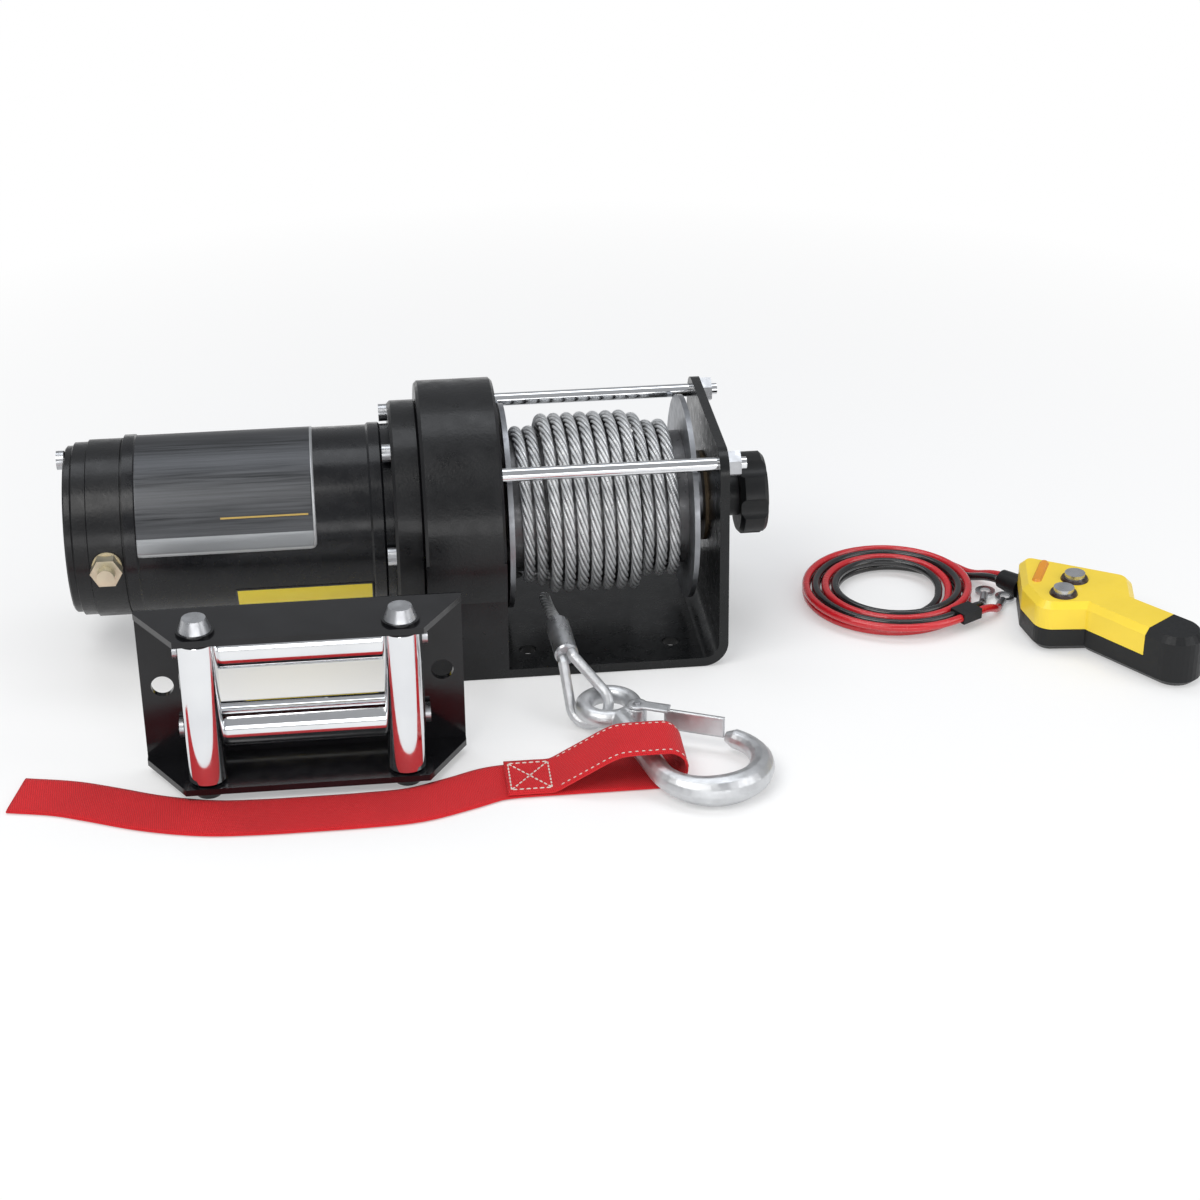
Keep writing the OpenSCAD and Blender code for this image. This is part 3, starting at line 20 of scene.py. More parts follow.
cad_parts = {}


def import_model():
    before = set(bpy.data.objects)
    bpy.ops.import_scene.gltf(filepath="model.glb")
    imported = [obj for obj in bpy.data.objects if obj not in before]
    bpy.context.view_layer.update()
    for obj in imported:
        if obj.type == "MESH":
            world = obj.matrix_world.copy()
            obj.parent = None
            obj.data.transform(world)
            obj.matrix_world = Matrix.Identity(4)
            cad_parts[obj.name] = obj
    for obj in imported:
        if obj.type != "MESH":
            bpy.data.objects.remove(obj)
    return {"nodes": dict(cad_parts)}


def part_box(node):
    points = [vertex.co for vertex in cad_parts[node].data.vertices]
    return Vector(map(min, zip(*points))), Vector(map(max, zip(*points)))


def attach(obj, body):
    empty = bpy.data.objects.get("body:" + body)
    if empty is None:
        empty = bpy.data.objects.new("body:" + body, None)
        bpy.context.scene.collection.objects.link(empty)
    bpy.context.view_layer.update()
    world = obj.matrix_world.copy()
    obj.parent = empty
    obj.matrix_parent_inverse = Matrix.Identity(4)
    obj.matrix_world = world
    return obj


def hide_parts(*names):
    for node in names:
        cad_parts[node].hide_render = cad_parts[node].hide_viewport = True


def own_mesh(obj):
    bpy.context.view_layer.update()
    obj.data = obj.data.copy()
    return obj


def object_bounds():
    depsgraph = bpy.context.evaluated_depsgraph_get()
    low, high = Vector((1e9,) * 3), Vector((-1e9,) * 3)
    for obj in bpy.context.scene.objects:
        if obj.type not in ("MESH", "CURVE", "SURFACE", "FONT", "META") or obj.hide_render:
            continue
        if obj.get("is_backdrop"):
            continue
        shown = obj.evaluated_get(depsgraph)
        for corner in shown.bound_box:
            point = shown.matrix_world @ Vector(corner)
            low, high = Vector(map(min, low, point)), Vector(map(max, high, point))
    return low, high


LOG = logging.getLogger("winch")
MM = 0.001
MIN_PIECES = 2

STRAND_REACH = (0.66, 0.93, 1.0, 0.93)

Point = tuple[float, float, float]
Pair = tuple[float, float]
Colour = tuple[float, float, float]
Profile = Callable[[int, float], list[Pair]]
Socket = bpy.types.NodeSocket
Value = Socket | float | tuple[float, ...]


class Body(str, Enum):
    """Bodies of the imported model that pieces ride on."""

    FRAME = "frame"
    DRUM = "drum_body"


class Sum(str, Enum):
    """Sums that a finish is worked out with."""

    ADD = "ADD"
    SUBTRACT = "SUBTRACT"
    MULTIPLY = "MULTIPLY"
    SINE = "SINE"
    ABSOLUTE = "ABSOLUTE"
    FRACTION = "FRACT"
    LESS_THAN = "LESS_THAN"
    MAXIMUM = "MAXIMUM"


class Blend(str, Enum):
    """Ways to mix two colours."""

    MIX = "MIX"
    MULTIPLY = "MULTIPLY"


# --------------------------------------------------------------------------
# Plain geometry
# --------------------------------------------------------------------------


def smooth(t: float) -> float:
    """Ease from 0 to 1 as t goes from 0 to 1."""
    s = max(0.0, min(1.0, t))
    return s * s * (3 - 2 * s)


def in_metres(p: Point) -> Point:
    """Turn a point in millimetres into metres."""
    return (p[0] * MM, p[1] * MM, p[2] * MM)


def catmull(points: Sequence[Point], steps: int) -> list[Point]:
    """Lay a smooth curve through points.

    Args:
        points: The points.
        steps: Pieces between two of them.

    Returns:
        The curve's points.
    """
    p = [Vector(q) for q in points]
    out: list[Point] = []
    for i in range(len(p) - 1):
        a = p[i - 1] if i else p[0] * 2 - p[1]
        b, c = p[i], p[i + 1]
        d = p[i + 2] if i + 2 < len(p) else c * 2 - b
        for k in range(steps):
            t = k / steps
            out.append(tuple(0.5 * (2 * b + (c - a) * t + (2 * a - 5 * b + 4 * c - d) * t * t
                                    + (3 * b - a - 3 * c + d) * t ** 3)))
    out.append(tuple(p[-1]))
    return out


def resample(points: Sequence[Point], step: float) -> list[Point]:
    """Set a line's points an even step apart.

    Args:
        points: The line.
        step: About how far apart they shall be.

    Returns:
        The new points.
    """
    p = [Vector(q) for q in points]
    spans = [(b - a).length for a, b in zip(p, p[1:])]
    total = sum(spans)
    count = max(MIN_PIECES, round(total / step))
    out, i, done = [], 0, 0.0
    for k in range(count + 1):
        goal = total * k / count
        while i < len(spans) - 1 and done + spans[i] < goal:
            done += spans[i]
            i += 1
        t = 0.0 if spans[i] == 0 else (goal - done) / spans[i]
        out.append(tuple(p[i].lerp(p[i + 1], min(1.0, t))))
    return out


def marks_along(points: Sequence[Point]) -> list[float]:
    """Measure how far along a line each of its points lies.

    Args:
        points: The line.

    Returns:
        The lengths from its start.
    """
    marks = [0.0]
    for a, b in zip(points, points[1:]):
        marks.append(marks[-1] + (Vector(b) - Vector(a)).length)
    return marks


def heading(points: Sequence[Point], i: int) -> Vector:
    """Find a line's direction, one long, at the point with this index."""
    a, b = Vector(points[max(i - 1, 0)]), Vector(points[min(i + 1, len(points) - 1)])
    return (b - a).normalized()


@dataclass
class MeshData:
    """Points, faces and UVs of one piece, in millimetres."""

    points: list[Point] = field(default_factory=list)
    faces: list[tuple[int, ...]] = field(default_factory=list)
    uvs: list[list[Pair]] = field(default_factory=list)

    def add(self, points: Iterable[Point], faces: Iterable[Sequence[int]],
            uvs: Iterable[list[Pair]] | None = None) -> None:
        """Append a group of points and faces.

        Args:
            points: The points.
            faces: Faces as indices into these points.
            uvs: UVs of each face's corners, or None for none.
        """
        base = len(self.points)
        self.points.extend(points)
        new = [tuple(base + k for k in f) for f in faces]
        self.faces.extend(new)
        self.uvs.extend(uvs if uvs is not None else [[(0.0, 0.0)] * len(f) for f in new])


def put(name: str, data: bpy.types.ID) -> bpy.types.Object:
    """Put a new object into the scene.

    Args:
        name: Its name.
        data: Its mesh, lamp or camera.

    Returns:
        The object.
    """
    obj = bpy.data.objects.new(name, data)
    bpy.context.scene.collection.objects.link(obj)
    return obj


def skin(rings: Sequence[Sequence[Point]], marks: Sequence[float] | None = None,
         around: Sequence[float] | None = None) -> MeshData:
    """Close a skin over rings of points, with a cap at each end.

    Args:
        rings: The rings, of as many points each.
        marks: V at each ring, or None for no UVs.
        around: U at each point of a ring and at its first point again.

    Returns:
        The closed mesh.
    """
    n, count = len(rings[0]), len(rings)
    faces, uvs = [], []
    for i in range(count - 1):
        for k in range(n):
            corners = ((i, k), (i, k + 1), (i + 1, k + 1), (i + 1, k))
            faces.append(tuple(row * n + column % n for row, column in corners))
            if marks is not None and around is not None:
                uvs.append([(around[column], marks[row]) for row, column in corners])
    faces += [tuple(range(n - 1, -1, -1)), tuple((count - 1) * n + k for k in range(n))]
    if uvs:
        uvs += [[(0.0, 0.0)] * n, [(0.0, 0.0)] * n]
    data = MeshData()
    data.add([p for ring in rings for p in ring], faces, uvs or None)
    return data


def sweep(path: Sequence[Point], profile: Profile, guide: Callable[[int], Vector]) -> MeshData:
    """Sweep a closed outline along a path.

    Args:
        path: The middle line.
        profile: The outline at a ring, from its index and the length so far.
        guide: A direction near each ring's own up.

    Returns:
        The closed mesh; U goes once round and V is the length in millimetres.
    """
    rings: list[list[Point]] = []
    done = marks_along(path)
    for i, centre in enumerate(path):
        along = heading(path, i)
        side = along.cross(guide(i)).normalized()
        lift = side.cross(along)
        rings.append([tuple(Vector(centre) + side * u + lift * v) for u, v in profile(i, done[i])])
    n = len(rings[0])
    return skin(rings, done, [k / n for k in range(n + 1)])


def round_profile(radius: float, sides: int) -> Profile:
    """Give the outline of a plain round lead or wire.

    Args:
        radius: Its radius.
        sides: Points round it.

    Returns:
        The outline for each ring.
    """
    angles = [2 * math.pi * k / sides for k in range(sides)]
    ring = [(radius * math.cos(a), radius * math.sin(a)) for a in angles]
    return lambda i, s: ring


def strand_profile(radius: float, lay: float, strands: int = 6) -> Profile:
    """Give the outline of a wire rope whose strands turn once in each lay.

    Args:
        radius: The rope's radius.
        lay: Length of one turn of the strands.
        strands: How many there are.

    Returns:
        The outline for each ring.
    """
    count = strands * len(STRAND_REACH)

    def outline(i: int, s: float) -> list[Pair]:
        """Turn the outline with the length so far.

        Args:
            i: The ring's index.
            s: The length so far.

        Returns:
            The outline's points.
        """
        turned = 2 * math.pi * s / lay
        points: list[Pair] = []
        for k in range(count):
            r = radius * STRAND_REACH[k % len(STRAND_REACH)]
            a = 2 * math.pi * k / count + turned
            points.append((r * math.cos(a), r * math.sin(a)))
        return points

    return outline


# --------------------------------------------------------------------------
# Sizes shared with the model, in millimetres
# --------------------------------------------------------------------------


@dataclass(frozen=True)
class WoundRope:
    """The rope on the drum: one helix that climbs to the outer layer and back."""

    axis_z: float = 63.5
    drum_left: float = -43.0
    drum_right: float = 47.5
    rope_r: float = 2.75
    pitch: float = 6.4
    turns: float = 12
    low_r: float = 35.75
    high_r: float = 41.25
    climb_at_turn: float = 1.5
    drop_at_turn: float = 9.0

    def point(self, turn: float) -> Point:
        """Place of the rope's middle.

        Args:
            turn: Turns from the start.

        Returns:
            The point.
        """
        start = (self.drum_left + self.drum_right - self.turns * self.pitch) / 2
        rise = smooth((turn - self.climb_at_turn) * 2) - smooth((turn - self.drop_at_turn) * 2)
        radius = self.low_r + (self.high_r - self.low_r) * rise
        angle = 2 * math.pi * turn
        return (start + self.pitch * turn, radius * math.cos(angle),
                self.axis_z + radius * math.sin(angle))


@dataclass(frozen=True)
class Coil:
    """The pair of leads, wound flat on the floor in two layers."""

    x: float = 154.0
    y: float = 0.0
    r: float = 47.0
    turns: float = 3.75
    start: float = 30.0
    pitch: float = 4.9
    lead_r: float = 2.0
    rings_per_turn: int = 48

    def point(self, turn: float, lane: int) -> Point:
        """Place of a lead's middle.

        Args:
            turn: Turns from the handset's side.
            lane: 0 for the outer lead and 1 for the inner one.

        Returns:
            The point.
        """
        middle = turn - self.turns / 2
        radius = self.r - lane * self.pitch - 2 * self.pitch * (self.turns / 2 - abs(middle))
        angle = math.radians(self.start + 360 * turn)
        height = self.lead_r + self.pitch * smooth(2 * middle + 0.5)
        return (self.x + radius * math.cos(angle), self.y + radius * math.sin(angle), height)

    def path(self, lane: int) -> list[Point]:
        """Give the middle line of one lead in the coil; lane 0 is the outer one."""
        steps = round(self.turns * self.rings_per_turn)
        return [self.point(self.turns * i / steps, lane) for i in range(steps + 1)]


# --------------------------------------------------------------------------
# Finishes
# --------------------------------------------------------------------------


class NodeTree:
    """The node tree of a material or a world, with short ways to add and join its nodes."""

    def __init__(self, name: str, world: bool = False) -> None:
        """Start a material, or a world.

        Args:
            name: Its name.
            world: True for a world.
        """
        self.made = (bpy.data.worlds if world else bpy.data.materials).new(name)
        self.made.use_nodes = True
        self.tree = self.made.node_tree
        self.shader = self.tree.nodes["Background" if world else "Principled BSDF"]

    def feed(self, socket: Socket, value: Value) -> None:
        """Set an input, or join another node's output to it.

        Args:
            socket: The input.
            value: A number, a tuple or an output.
        """
        if isinstance(value, bpy.types.NodeSocket):
            self.tree.links.new(value, socket)
        else:
            socket.default_value = value

    def set(self, node: bpy.types.Node, **inputs: Value) -> None:
        """Feed inputs by their names, with underscores for spaces."""
        for key, value in inputs.items():
            self.feed(node.inputs[key.replace("_", " ")], value)

    def add(self, kind: str, **inputs: Value) -> bpy.types.Node:
        """Add a node.

        Args:
            kind: Its type, without the start that all of them share.
            inputs: What is fed to it.

        Returns:
            The node.
        """
        node = self.tree.nodes.new(f"ShaderNode{kind}")
        self.set(node, **inputs)
        return node

    def coords(self, scale: Point = (1, 1, 1)) -> Socket:
        """Give the object's own coordinates in metres, scaled on each axis."""
        source = self.add("TexCoord").outputs["Object"]
        return self.add("Mapping", Vector=source, Scale=scale).outputs["Vector"]

    def uv(self) -> tuple[Socket, Socket]:
        """Give the piece's own U and V."""
        split = self.add("SeparateXYZ", Vector=self.add("TexCoord").outputs["UV"])
        return split.outputs["X"], split.outputs["Y"]

    def noise(self, scale: float, detail: float = 4.0, vector: Socket | None = None) -> Socket:
        """Give cloudy noise from 0 to 1, with this many clouds to the metre."""
        vector = self.coords() if vector is None else vector
        return self.add("TexNoise", Scale=scale, Detail=detail, Vector=vector).outputs[0]

    def spread(self, source: Socket, low: float = 0.0, high: float = 1.0,
               first: float = 0.3, last: float = 0.7) -> Socket:
        """Map a value's span from first to last onto low to high, and hold it beyond."""
        return self.add("MapRange", Value=source, From_Min=first, From_Max=last,
                        To_Min=low, To_Max=high).outputs["Result"]

    def math(self, operation: Sum, a: Socket | float, b: Socket | float = 0.0) -> Socket:
        """Work out one sum.

        Args:
            operation: What is done.
            a: First value.
            b: Second value.

        Returns:
            The result.
        """
        node = self.add("Math")
        node.operation = operation.value
        for socket, value in zip(node.inputs, (a, b)):
            self.feed(socket, value)
        return node.outputs[0]

    def band(self, source: Socket, middle: float, half: float) -> Socket:
        """Give 1 where a value is within half of the middle, and 0 elsewhere."""
        away = self.math(Sum.ABSOLUTE, self.math(Sum.SUBTRACT, source, middle))
        return self.math(Sum.LESS_THAN, away, half)

    def mix(self, factor: Socket | float, a: Socket | Colour, b: Socket | Colour,
            blend: Blend = Blend.MIX) -> Socket:
        """Mix two colours.

        Args:
            factor: Share of the second colour.
            a: First colour.
            b: Second colour.
            blend: How they are mixed.

        Returns:
            The mixed colour.
        """
        node = self.add("Mix")
        node.data_type, node.blend_type = "RGBA", blend.value
        for key, value in (("Factor", factor), (6, a), (7, b)):
            self.feed(node.inputs[key], (*value, 1.0) if isinstance(value, tuple) else value)
        return node.outputs[2]

    def bump(self, height: Socket, distance: float, strength: float = 1.0,
             below: Socket | None = None) -> Socket:
        """Turn a height into a normal.

        Args:
            height: The height, about 0 to 1.
            distance: Depth in metres.
            strength: Share of the effect.
            below: A coarser normal under it.

        Returns:
            The normal.
        """
        node = self.add("Bump", Strength=strength, Distance=distance, Height=height)
        if below is not None:
            self.set(node, Normal=below)
        return node.outputs["Normal"]

    def rounded(self, radius: float, rays: int = 8) -> Socket:
        """Round the facets and edges of a surface.

        Args:
            radius: The radius in metres.
            rays: How many rays look for an edge.

        Returns:
            The normal.
        """
        node = self.add("Bevel", Radius=radius)
        node.samples = rays
        return node.outputs["Normal"]

    def drive(self, colour: Socket, roughness: Socket, normal: Socket | None = None,
              **others: Value) -> None:
        """Feed the tree's own shader.

        Args:
            colour: The base colour.
            roughness: The roughness.
            normal: The normal, or None for a smooth surface.
            others: Its other inputs, with underscores for spaces.
        """
        self.set(self.shader, Base_Color=colour, Roughness=roughness, **others)
        if normal is not None:
            self.set(self.shader, Normal=normal)

    def blend(self, share: Socket, other: bpy.types.Node) -> None:
        """Mix the tree's own shader with another one and give out the mixture.

        Args:
            share: Share of the other shader.
            other: The other shader.
        """
        out = self.shader.outputs[0].links[0].to_socket
        mixed = self.add("MixShader")
        for socket, value in zip(mixed.inputs, (share, self.shader.outputs[0], other.outputs[0])):
            self.feed(socket, value)
        self.feed(out, mixed.outputs[0])


@dataclass(frozen=True)
class Paint:
    """Sprayed paint with a fine peel, dust and faint rubbed patches."""

    name: str
    base: Colour
    rough: float
    peel: float
    coat: float = 0.14
    coat_rough: float = 0.14
    gloss: float = 0.26
    worn_gain: float = 1.6
    worn_lift: float = 0.003
    patches: float = 55
    haze: float = 160
    coarse_peel: float = 700
    fine_peel: float = 2600
    fine_share: float = 0.35
    rough_span: Pair = (-0.06, 0.1)

    def make(self) -> bpy.types.Material:
        """Mix the material.

        Returns:
            The material.
        """
        n = NodeTree(self.name)
        worn = tuple(c * self.worn_gain + self.worn_lift for c in self.base)
        coarse = n.bump(n.noise(self.coarse_peel, 2), self.peel, 0.5)
        n.drive(n.mix(n.spread(n.noise(self.patches, 6), first=0.35, last=0.8), self.base, worn),
                n.spread(n.noise(self.haze, 5), *(self.rough + d for d in self.rough_span)),
                n.bump(n.noise(self.fine_peel, 2), self.peel * self.fine_share, 0.35, coarse),
                Coat_Weight=self.coat, Coat_Roughness=self.coat_rough, Specular_IOR_Level=self.gloss)
        return n.made


@dataclass(frozen=True)
class Metal:
    """Bare or plated metal with handling marks, soft dents and, where asked, rounded facets."""

    name: str
    base: Colour
    rough: float
    metallic: float = 1.0
    grain: float = 800
    dull: float = 0.72
    dents: float = 0.0
    edge: float = 0.0
    mottle: float = 90
    haze: float = 240
    dent_scale: float = 170
    grain_depth: float = 0.00006
    rough_span: Pair = (-0.07, 0.12)

    def make(self) -> bpy.types.Material:
        """Mix the material.

        Returns:
            The material.
        """
        n = NodeTree(self.name)
        tarnish = tuple(c * self.dull for c in self.base)
        under = n.rounded(self.edge) if self.edge else None
        if self.dents:
            under = n.bump(n.noise(self.dent_scale, 3), self.dents, 0.35, under)
        n.drive(n.mix(n.spread(n.noise(self.mottle, 6)), tarnish, self.base),
                n.spread(n.noise(self.haze, 5), *(self.rough + d for d in self.rough_span)),
                n.bump(n.noise(self.grain, 3), self.grain_depth, 0.5, under),
                Metallic=self.metallic)
        return n.made


@dataclass(frozen=True)
class Chrome:
    """Polished plating with faint polishing marks."""

    name: str = "chrome"
    dark: Colour = (0.76, 0.77, 0.79)
    bright: Colour = (0.85, 0.86, 0.87)
    rough: Pair = (0.05, 0.12)
    mottle: float = 30
    haze: float = 300

    def make(self) -> bpy.types.Material:
        """Mix the material.

        Returns:
            The material.
        """
        n = NodeTree(self.name)
        n.drive(n.mix(n.spread(n.noise(self.mottle, 3)), self.dark, self.bright),
                n.spread(n.noise(self.haze, 4), *self.rough), Metallic=1.0)
        return n.made


@dataclass(frozen=True)
class Moulding:
    """Moulded plastic with a fine spark texture, or extruded insulation."""

    name: str
    base: Colour
    rough: float
    coat: float = 0.0
    spark: float = 2400
    shade: float = 0.86
    relief: float = 0.00005
    gloss: float = 0.5
    coat_rough: float = 0.2
    mottle: float = 50
    haze: float = 380
    rough_span: Pair = (-0.05, 0.08)

    def make(self) -> bpy.types.Material:
        """Mix the material.

        Returns:
            The material.
        """
        n = NodeTree(self.name)
        deep = tuple(c * self.shade for c in self.base)
        n.drive(n.mix(n.spread(n.noise(self.mottle, 4)), deep, self.base),
                n.spread(n.noise(self.haze, 4), *(self.rough + d for d in self.rough_span)),
                n.bump(n.noise(self.spark, 2), self.relief, 0.4),
                Coat_Weight=self.coat, Coat_Roughness=self.coat_rough, Specular_IOR_Level=self.gloss)
        return n.made


@dataclass(frozen=True)
class GalvanisedRope:
    """Galvanised wires that cross each strand, with grease and painted shade darkening the grooves
    between strands.
    """

    name: str = "wire_rope"
    strands: int = 6
    wire_pitch: float = 1.0
    wire_lean: float = 90.0
    wire_depth: float = 0.00012
    metallic: float = 0.72
    mottle: float = 140
    haze: float = 500
    groove: Pair = (0.28, 0.5)
    rough: Pair = (0.26, 0.44)
    bright: Colour = (0.82, 0.83, 0.84)
    dull: Colour = (0.56, 0.57, 0.58)
    # Dark colour of the grooves between strands: partly grease, partly painted shade.
    groove_shade_and_grease: Colour = (0.11, 0.11, 0.113)

    def make(self) -> bpy.types.Material:
        """Mix the material; U goes once round the rope and V is in millimetres.

        Returns:
            The material.
        """
        n = NodeTree(self.name)
        around, along = n.uv()
        lane = n.math(Sum.FRACTION, n.math(Sum.MULTIPLY, around, self.strands))
        crown = n.math(Sum.ABSOLUTE, n.math(Sum.SUBTRACT, lane, 0.5))
        wires = n.math(Sum.SINE, n.math(
            Sum.ADD, n.math(Sum.MULTIPLY, along, 2 * math.pi / self.wire_pitch),
            n.math(Sum.MULTIPLY, around, self.wire_lean)))
        zinc = n.mix(n.spread(n.noise(self.mottle, 5)), self.dull, self.bright)
        # Toward each groove between strands the colour goes dark: grease there, plus painted shade.
        n.drive(n.mix(n.spread(crown, 1.0, 0.0, *self.groove), self.groove_shade_and_grease, zinc),
                n.spread(n.noise(self.haze, 4), *self.rough), n.bump(wires, self.wire_depth, 0.6),
                Metallic=self.metallic)
        return n.made


@dataclass(frozen=True)
class Webbing:
    """Woven strap: warp along, weft across and a fine fuzz, with painted shade in the weave's dips
    and painted light on its crests.
    """

    name: str = "red_webbing"
    warp_pitch: float = 1.15
    weft_pitch: float = 0.85
    # Colours of the weave's dips and crests: painted shade and painted light over the red yarn.
    low: Colour = (0.42, 0.006, 0.01)
    high: Colour = (0.86, 0.016, 0.024)
    faded: Colour = (0.86, 0.84, 0.85)
    mottle: float = 28
    yarn_span: Pair = (-0.9, 0.7)
    rough: Pair = (0.58, 0.82)
    sheen: float = 0.08
    fuzz_scale: float = 2200
    fuzz_depth: float = 0.00005
    weave_depth: float = 0.00022

    def make(self) -> bpy.types.Material:
        """Mix the material; U and V are millimetres across and along.

        Returns:
            The material.
        """
        n = NodeTree(self.name)
        across, along = n.uv()
        warp = n.math(Sum.SINE, n.math(Sum.MULTIPLY, across, 2 * math.pi / self.warp_pitch))
        weft = n.math(Sum.SINE, n.math(
            Sum.ADD, n.math(Sum.MULTIPLY, along, 2 * math.pi / self.weft_pitch),
            n.math(Sum.MULTIPLY, across, math.pi / self.warp_pitch)))
        weave = n.math(Sum.MULTIPLY, n.math(Sum.ADD, n.math(Sum.MULTIPLY, warp, weft), weft), 0.5)
        fuzz = n.noise(self.fuzz_scale, 3)
        tone = n.mix(n.spread(n.noise(self.mottle, 4)), self.faded, (1.0, 1.0, 1.0))
        # The colour follows the weave's height: painted shade in its dips, painted light on its
        # crests.
        shaded_yarn = n.mix(n.spread(weave, 0.0, 1.0, *self.yarn_span), self.low, self.high)
        n.drive(n.mix(1.0, shaded_yarn, tone, Blend.MULTIPLY), n.spread(fuzz, *self.rough),
                n.bump(fuzz, self.fuzz_depth, 0.5, n.bump(weave, self.weave_depth, 0.8)),
                Sheen_Weight=self.sheen, Sheen_Roughness=0.5, Specular_IOR_Level=0.3)
        return n.made


@dataclass(frozen=True)
class BrushedLabel:
    """Bare brushed plate: pale rim, dark field, bright lower band and a thin gold line."""

    name: str = "brushed_label"
    rim: Colour = (0.5, 0.51, 0.52)
    band: Colour = (0.3, 0.31, 0.32)
    gold: Colour = (0.55, 0.38, 0.12)
    dark: Colour = (0.05, 0.052, 0.055)
    pale: Colour = (0.1, 0.103, 0.11)
    brushing: Point = (25, 900, 900)
    brush_depth: float = 0.00003
    rough: Pair = (0.3, 0.5)
    metallic: float = 0.85
    band_v: Pair = (0.06, 0.045)
    line_v: Pair = (0.2, 0.005)
    line_u: Pair = (0.72, 0.24)
    face: Pair = (0.5, 0.485)

    def make(self) -> bpy.types.Material:
        """Mix the material; U and V go from 0 to 1 over the plate.

        Returns:
            The material.
        """
        n = NodeTree(self.name)
        u, v = n.uv()
        lines = n.noise(1.0, 5, n.coords(self.brushing))
        brushed = n.mix(n.spread(lines), self.dark, self.pale)
        face = n.mix(n.band(v, *self.band_v), brushed, self.band)
        thin_line = n.math(Sum.MULTIPLY, n.band(v, *self.line_v), n.band(u, *self.line_u))
        face = n.mix(thin_line, face, self.gold)
        inside = n.math(Sum.MULTIPLY, n.band(u, *self.face), n.band(v, *self.face))
        n.drive(n.mix(inside, self.rim, face), n.spread(lines, *self.rough),
                n.bump(lines, self.brush_depth, 0.5), Metallic=self.metallic)
        return n.made


@dataclass(frozen=True)
class YellowStrip:
    """Bare yellow film with a thin dark rim."""

    name: str = "yellow_strip"
    rim: Colour = (0.02, 0.02, 0.02)
    dark: Colour = (0.97, 0.74, 0.03)
    pale: Colour = (1.0, 0.8, 0.05)
    face_u: Pair = (0.5, 0.485)
    face_v: Pair = (0.5, 0.46)
    rough: Pair = (0.3, 0.45)

    def make(self) -> bpy.types.Material:
        """Mix the material; U and V go from 0 to 1 over the strip.

        Returns:
            The material.
        """
        n = NodeTree(self.name)
        u, v = n.uv()
        film = n.mix(n.spread(n.noise(60, 4)), self.dark, self.pale)
        inside = n.math(Sum.MULTIPLY, n.band(u, *self.face_u), n.band(v, *self.face_v))
        n.drive(n.mix(inside, self.rim, film), n.spread(n.noise(300, 3), *self.rough))
        return n.made


class Finish(Enum):
    """Every finish of the winch and of what lies beside it."""

    BASE_PAINT = Paint("base_paint", (0.0055, 0.006, 0.0065), 0.28, 0.00012)
    CAST_PAINT = Paint("cast_paint", (0.006, 0.0062, 0.007), 0.32, 0.0002)
    MOTOR_PAINT = Paint("motor_paint", (0.005, 0.0053, 0.0065), 0.24, 0.00008)
    GLOSS_PAINT = Paint("gloss_paint", (0.005, 0.005, 0.006), 0.16, 0.00005, coat=0.3)
    ZINC = Metal("zinc", (0.60, 0.61, 0.63), 0.3, 0.95, grain=900)
    GEAR_STEEL = Metal("gear_steel", (0.42, 0.43, 0.45), 0.34, grain=600)
    DRUM_STEEL = Metal("drum_steel", (0.33, 0.34, 0.36), 0.38, grain=500)
    FORGED_ZINC = Metal("forged_zinc", (0.69, 0.7, 0.715), 0.36, 0.85, grain=1400, dull=0.78,
                        dents=0.0005, edge=0.0017)
    BRASS = Metal("pale_brass", (0.76, 0.69, 0.52), 0.34, 0.85)
    BRONZE = Metal("bronze", (0.16, 0.12, 0.075), 0.5, 0.8)
    COPPER = Metal("copper", (0.6, 0.28, 0.15), 0.4)
    MAGNET = Metal("magnet", (0.05, 0.05, 0.055), 0.6, 0.2, grain=700)
    BUTTON_PLATE = Metal("button_plate", (0.72, 0.73, 0.76), 0.24, 0.85, grain=1500, dull=0.55)
    CHROME = Chrome()
    ROPE = GalvanisedRope()
    WEBBING = Webbing()
    LABEL = BrushedLabel()
    STRIP = YellowStrip()
    CREAM = Moulding("cream_insulator", (0.62, 0.52, 0.33), 0.45)
    BRUSH_PLATE = Moulding("brush_plate", (0.12, 0.06, 0.03), 0.6)
    YELLOW = Moulding("yellow_plastic", (0.95, 0.69, 0.04), 0.36, coat=0.25, shade=0.93)
    ORANGE = Moulding("orange_plastic", (0.8, 0.3, 0.01), 0.4, coat=0.2)
    BLACK_PLASTIC = Moulding("black_plastic", (0.008, 0.0085, 0.0095), 0.42, coat=0.06, gloss=0.3)
    BROWN_BEZEL = Moulding("brown_bezel", (0.03, 0.012, 0.008), 0.3, coat=0.3)
    RED_LEAD = Moulding("red_lead", (0.6, 0.014, 0.022), 0.22, coat=0.4, spark=300, shade=0.85,
                        relief=0.00002)
    BLACK_LEAD = Moulding("black_lead", (0.012, 0.012, 0.013), 0.22, coat=0.4, spark=300,
                          shade=0.72, relief=0.00002)
    THREAD = Moulding("pale_thread", (0.74, 0.66, 0.6), 0.7)


class Palette:
    """Makes each finish once."""

    def __init__(self) -> None:
        """Start with no finish made."""
        self.made: dict[Finish, bpy.types.Material] = {}

    def of(self, finish: Finish) -> bpy.types.Material:
        """Give a finish's material, made the first time it is asked for."""
        if finish not in self.made:
            self.made[finish] = finish.value.make()
        return self.made[finish]


# --------------------------------------------------------------------------
# Camera, floor and light
# --------------------------------------------------------------------------


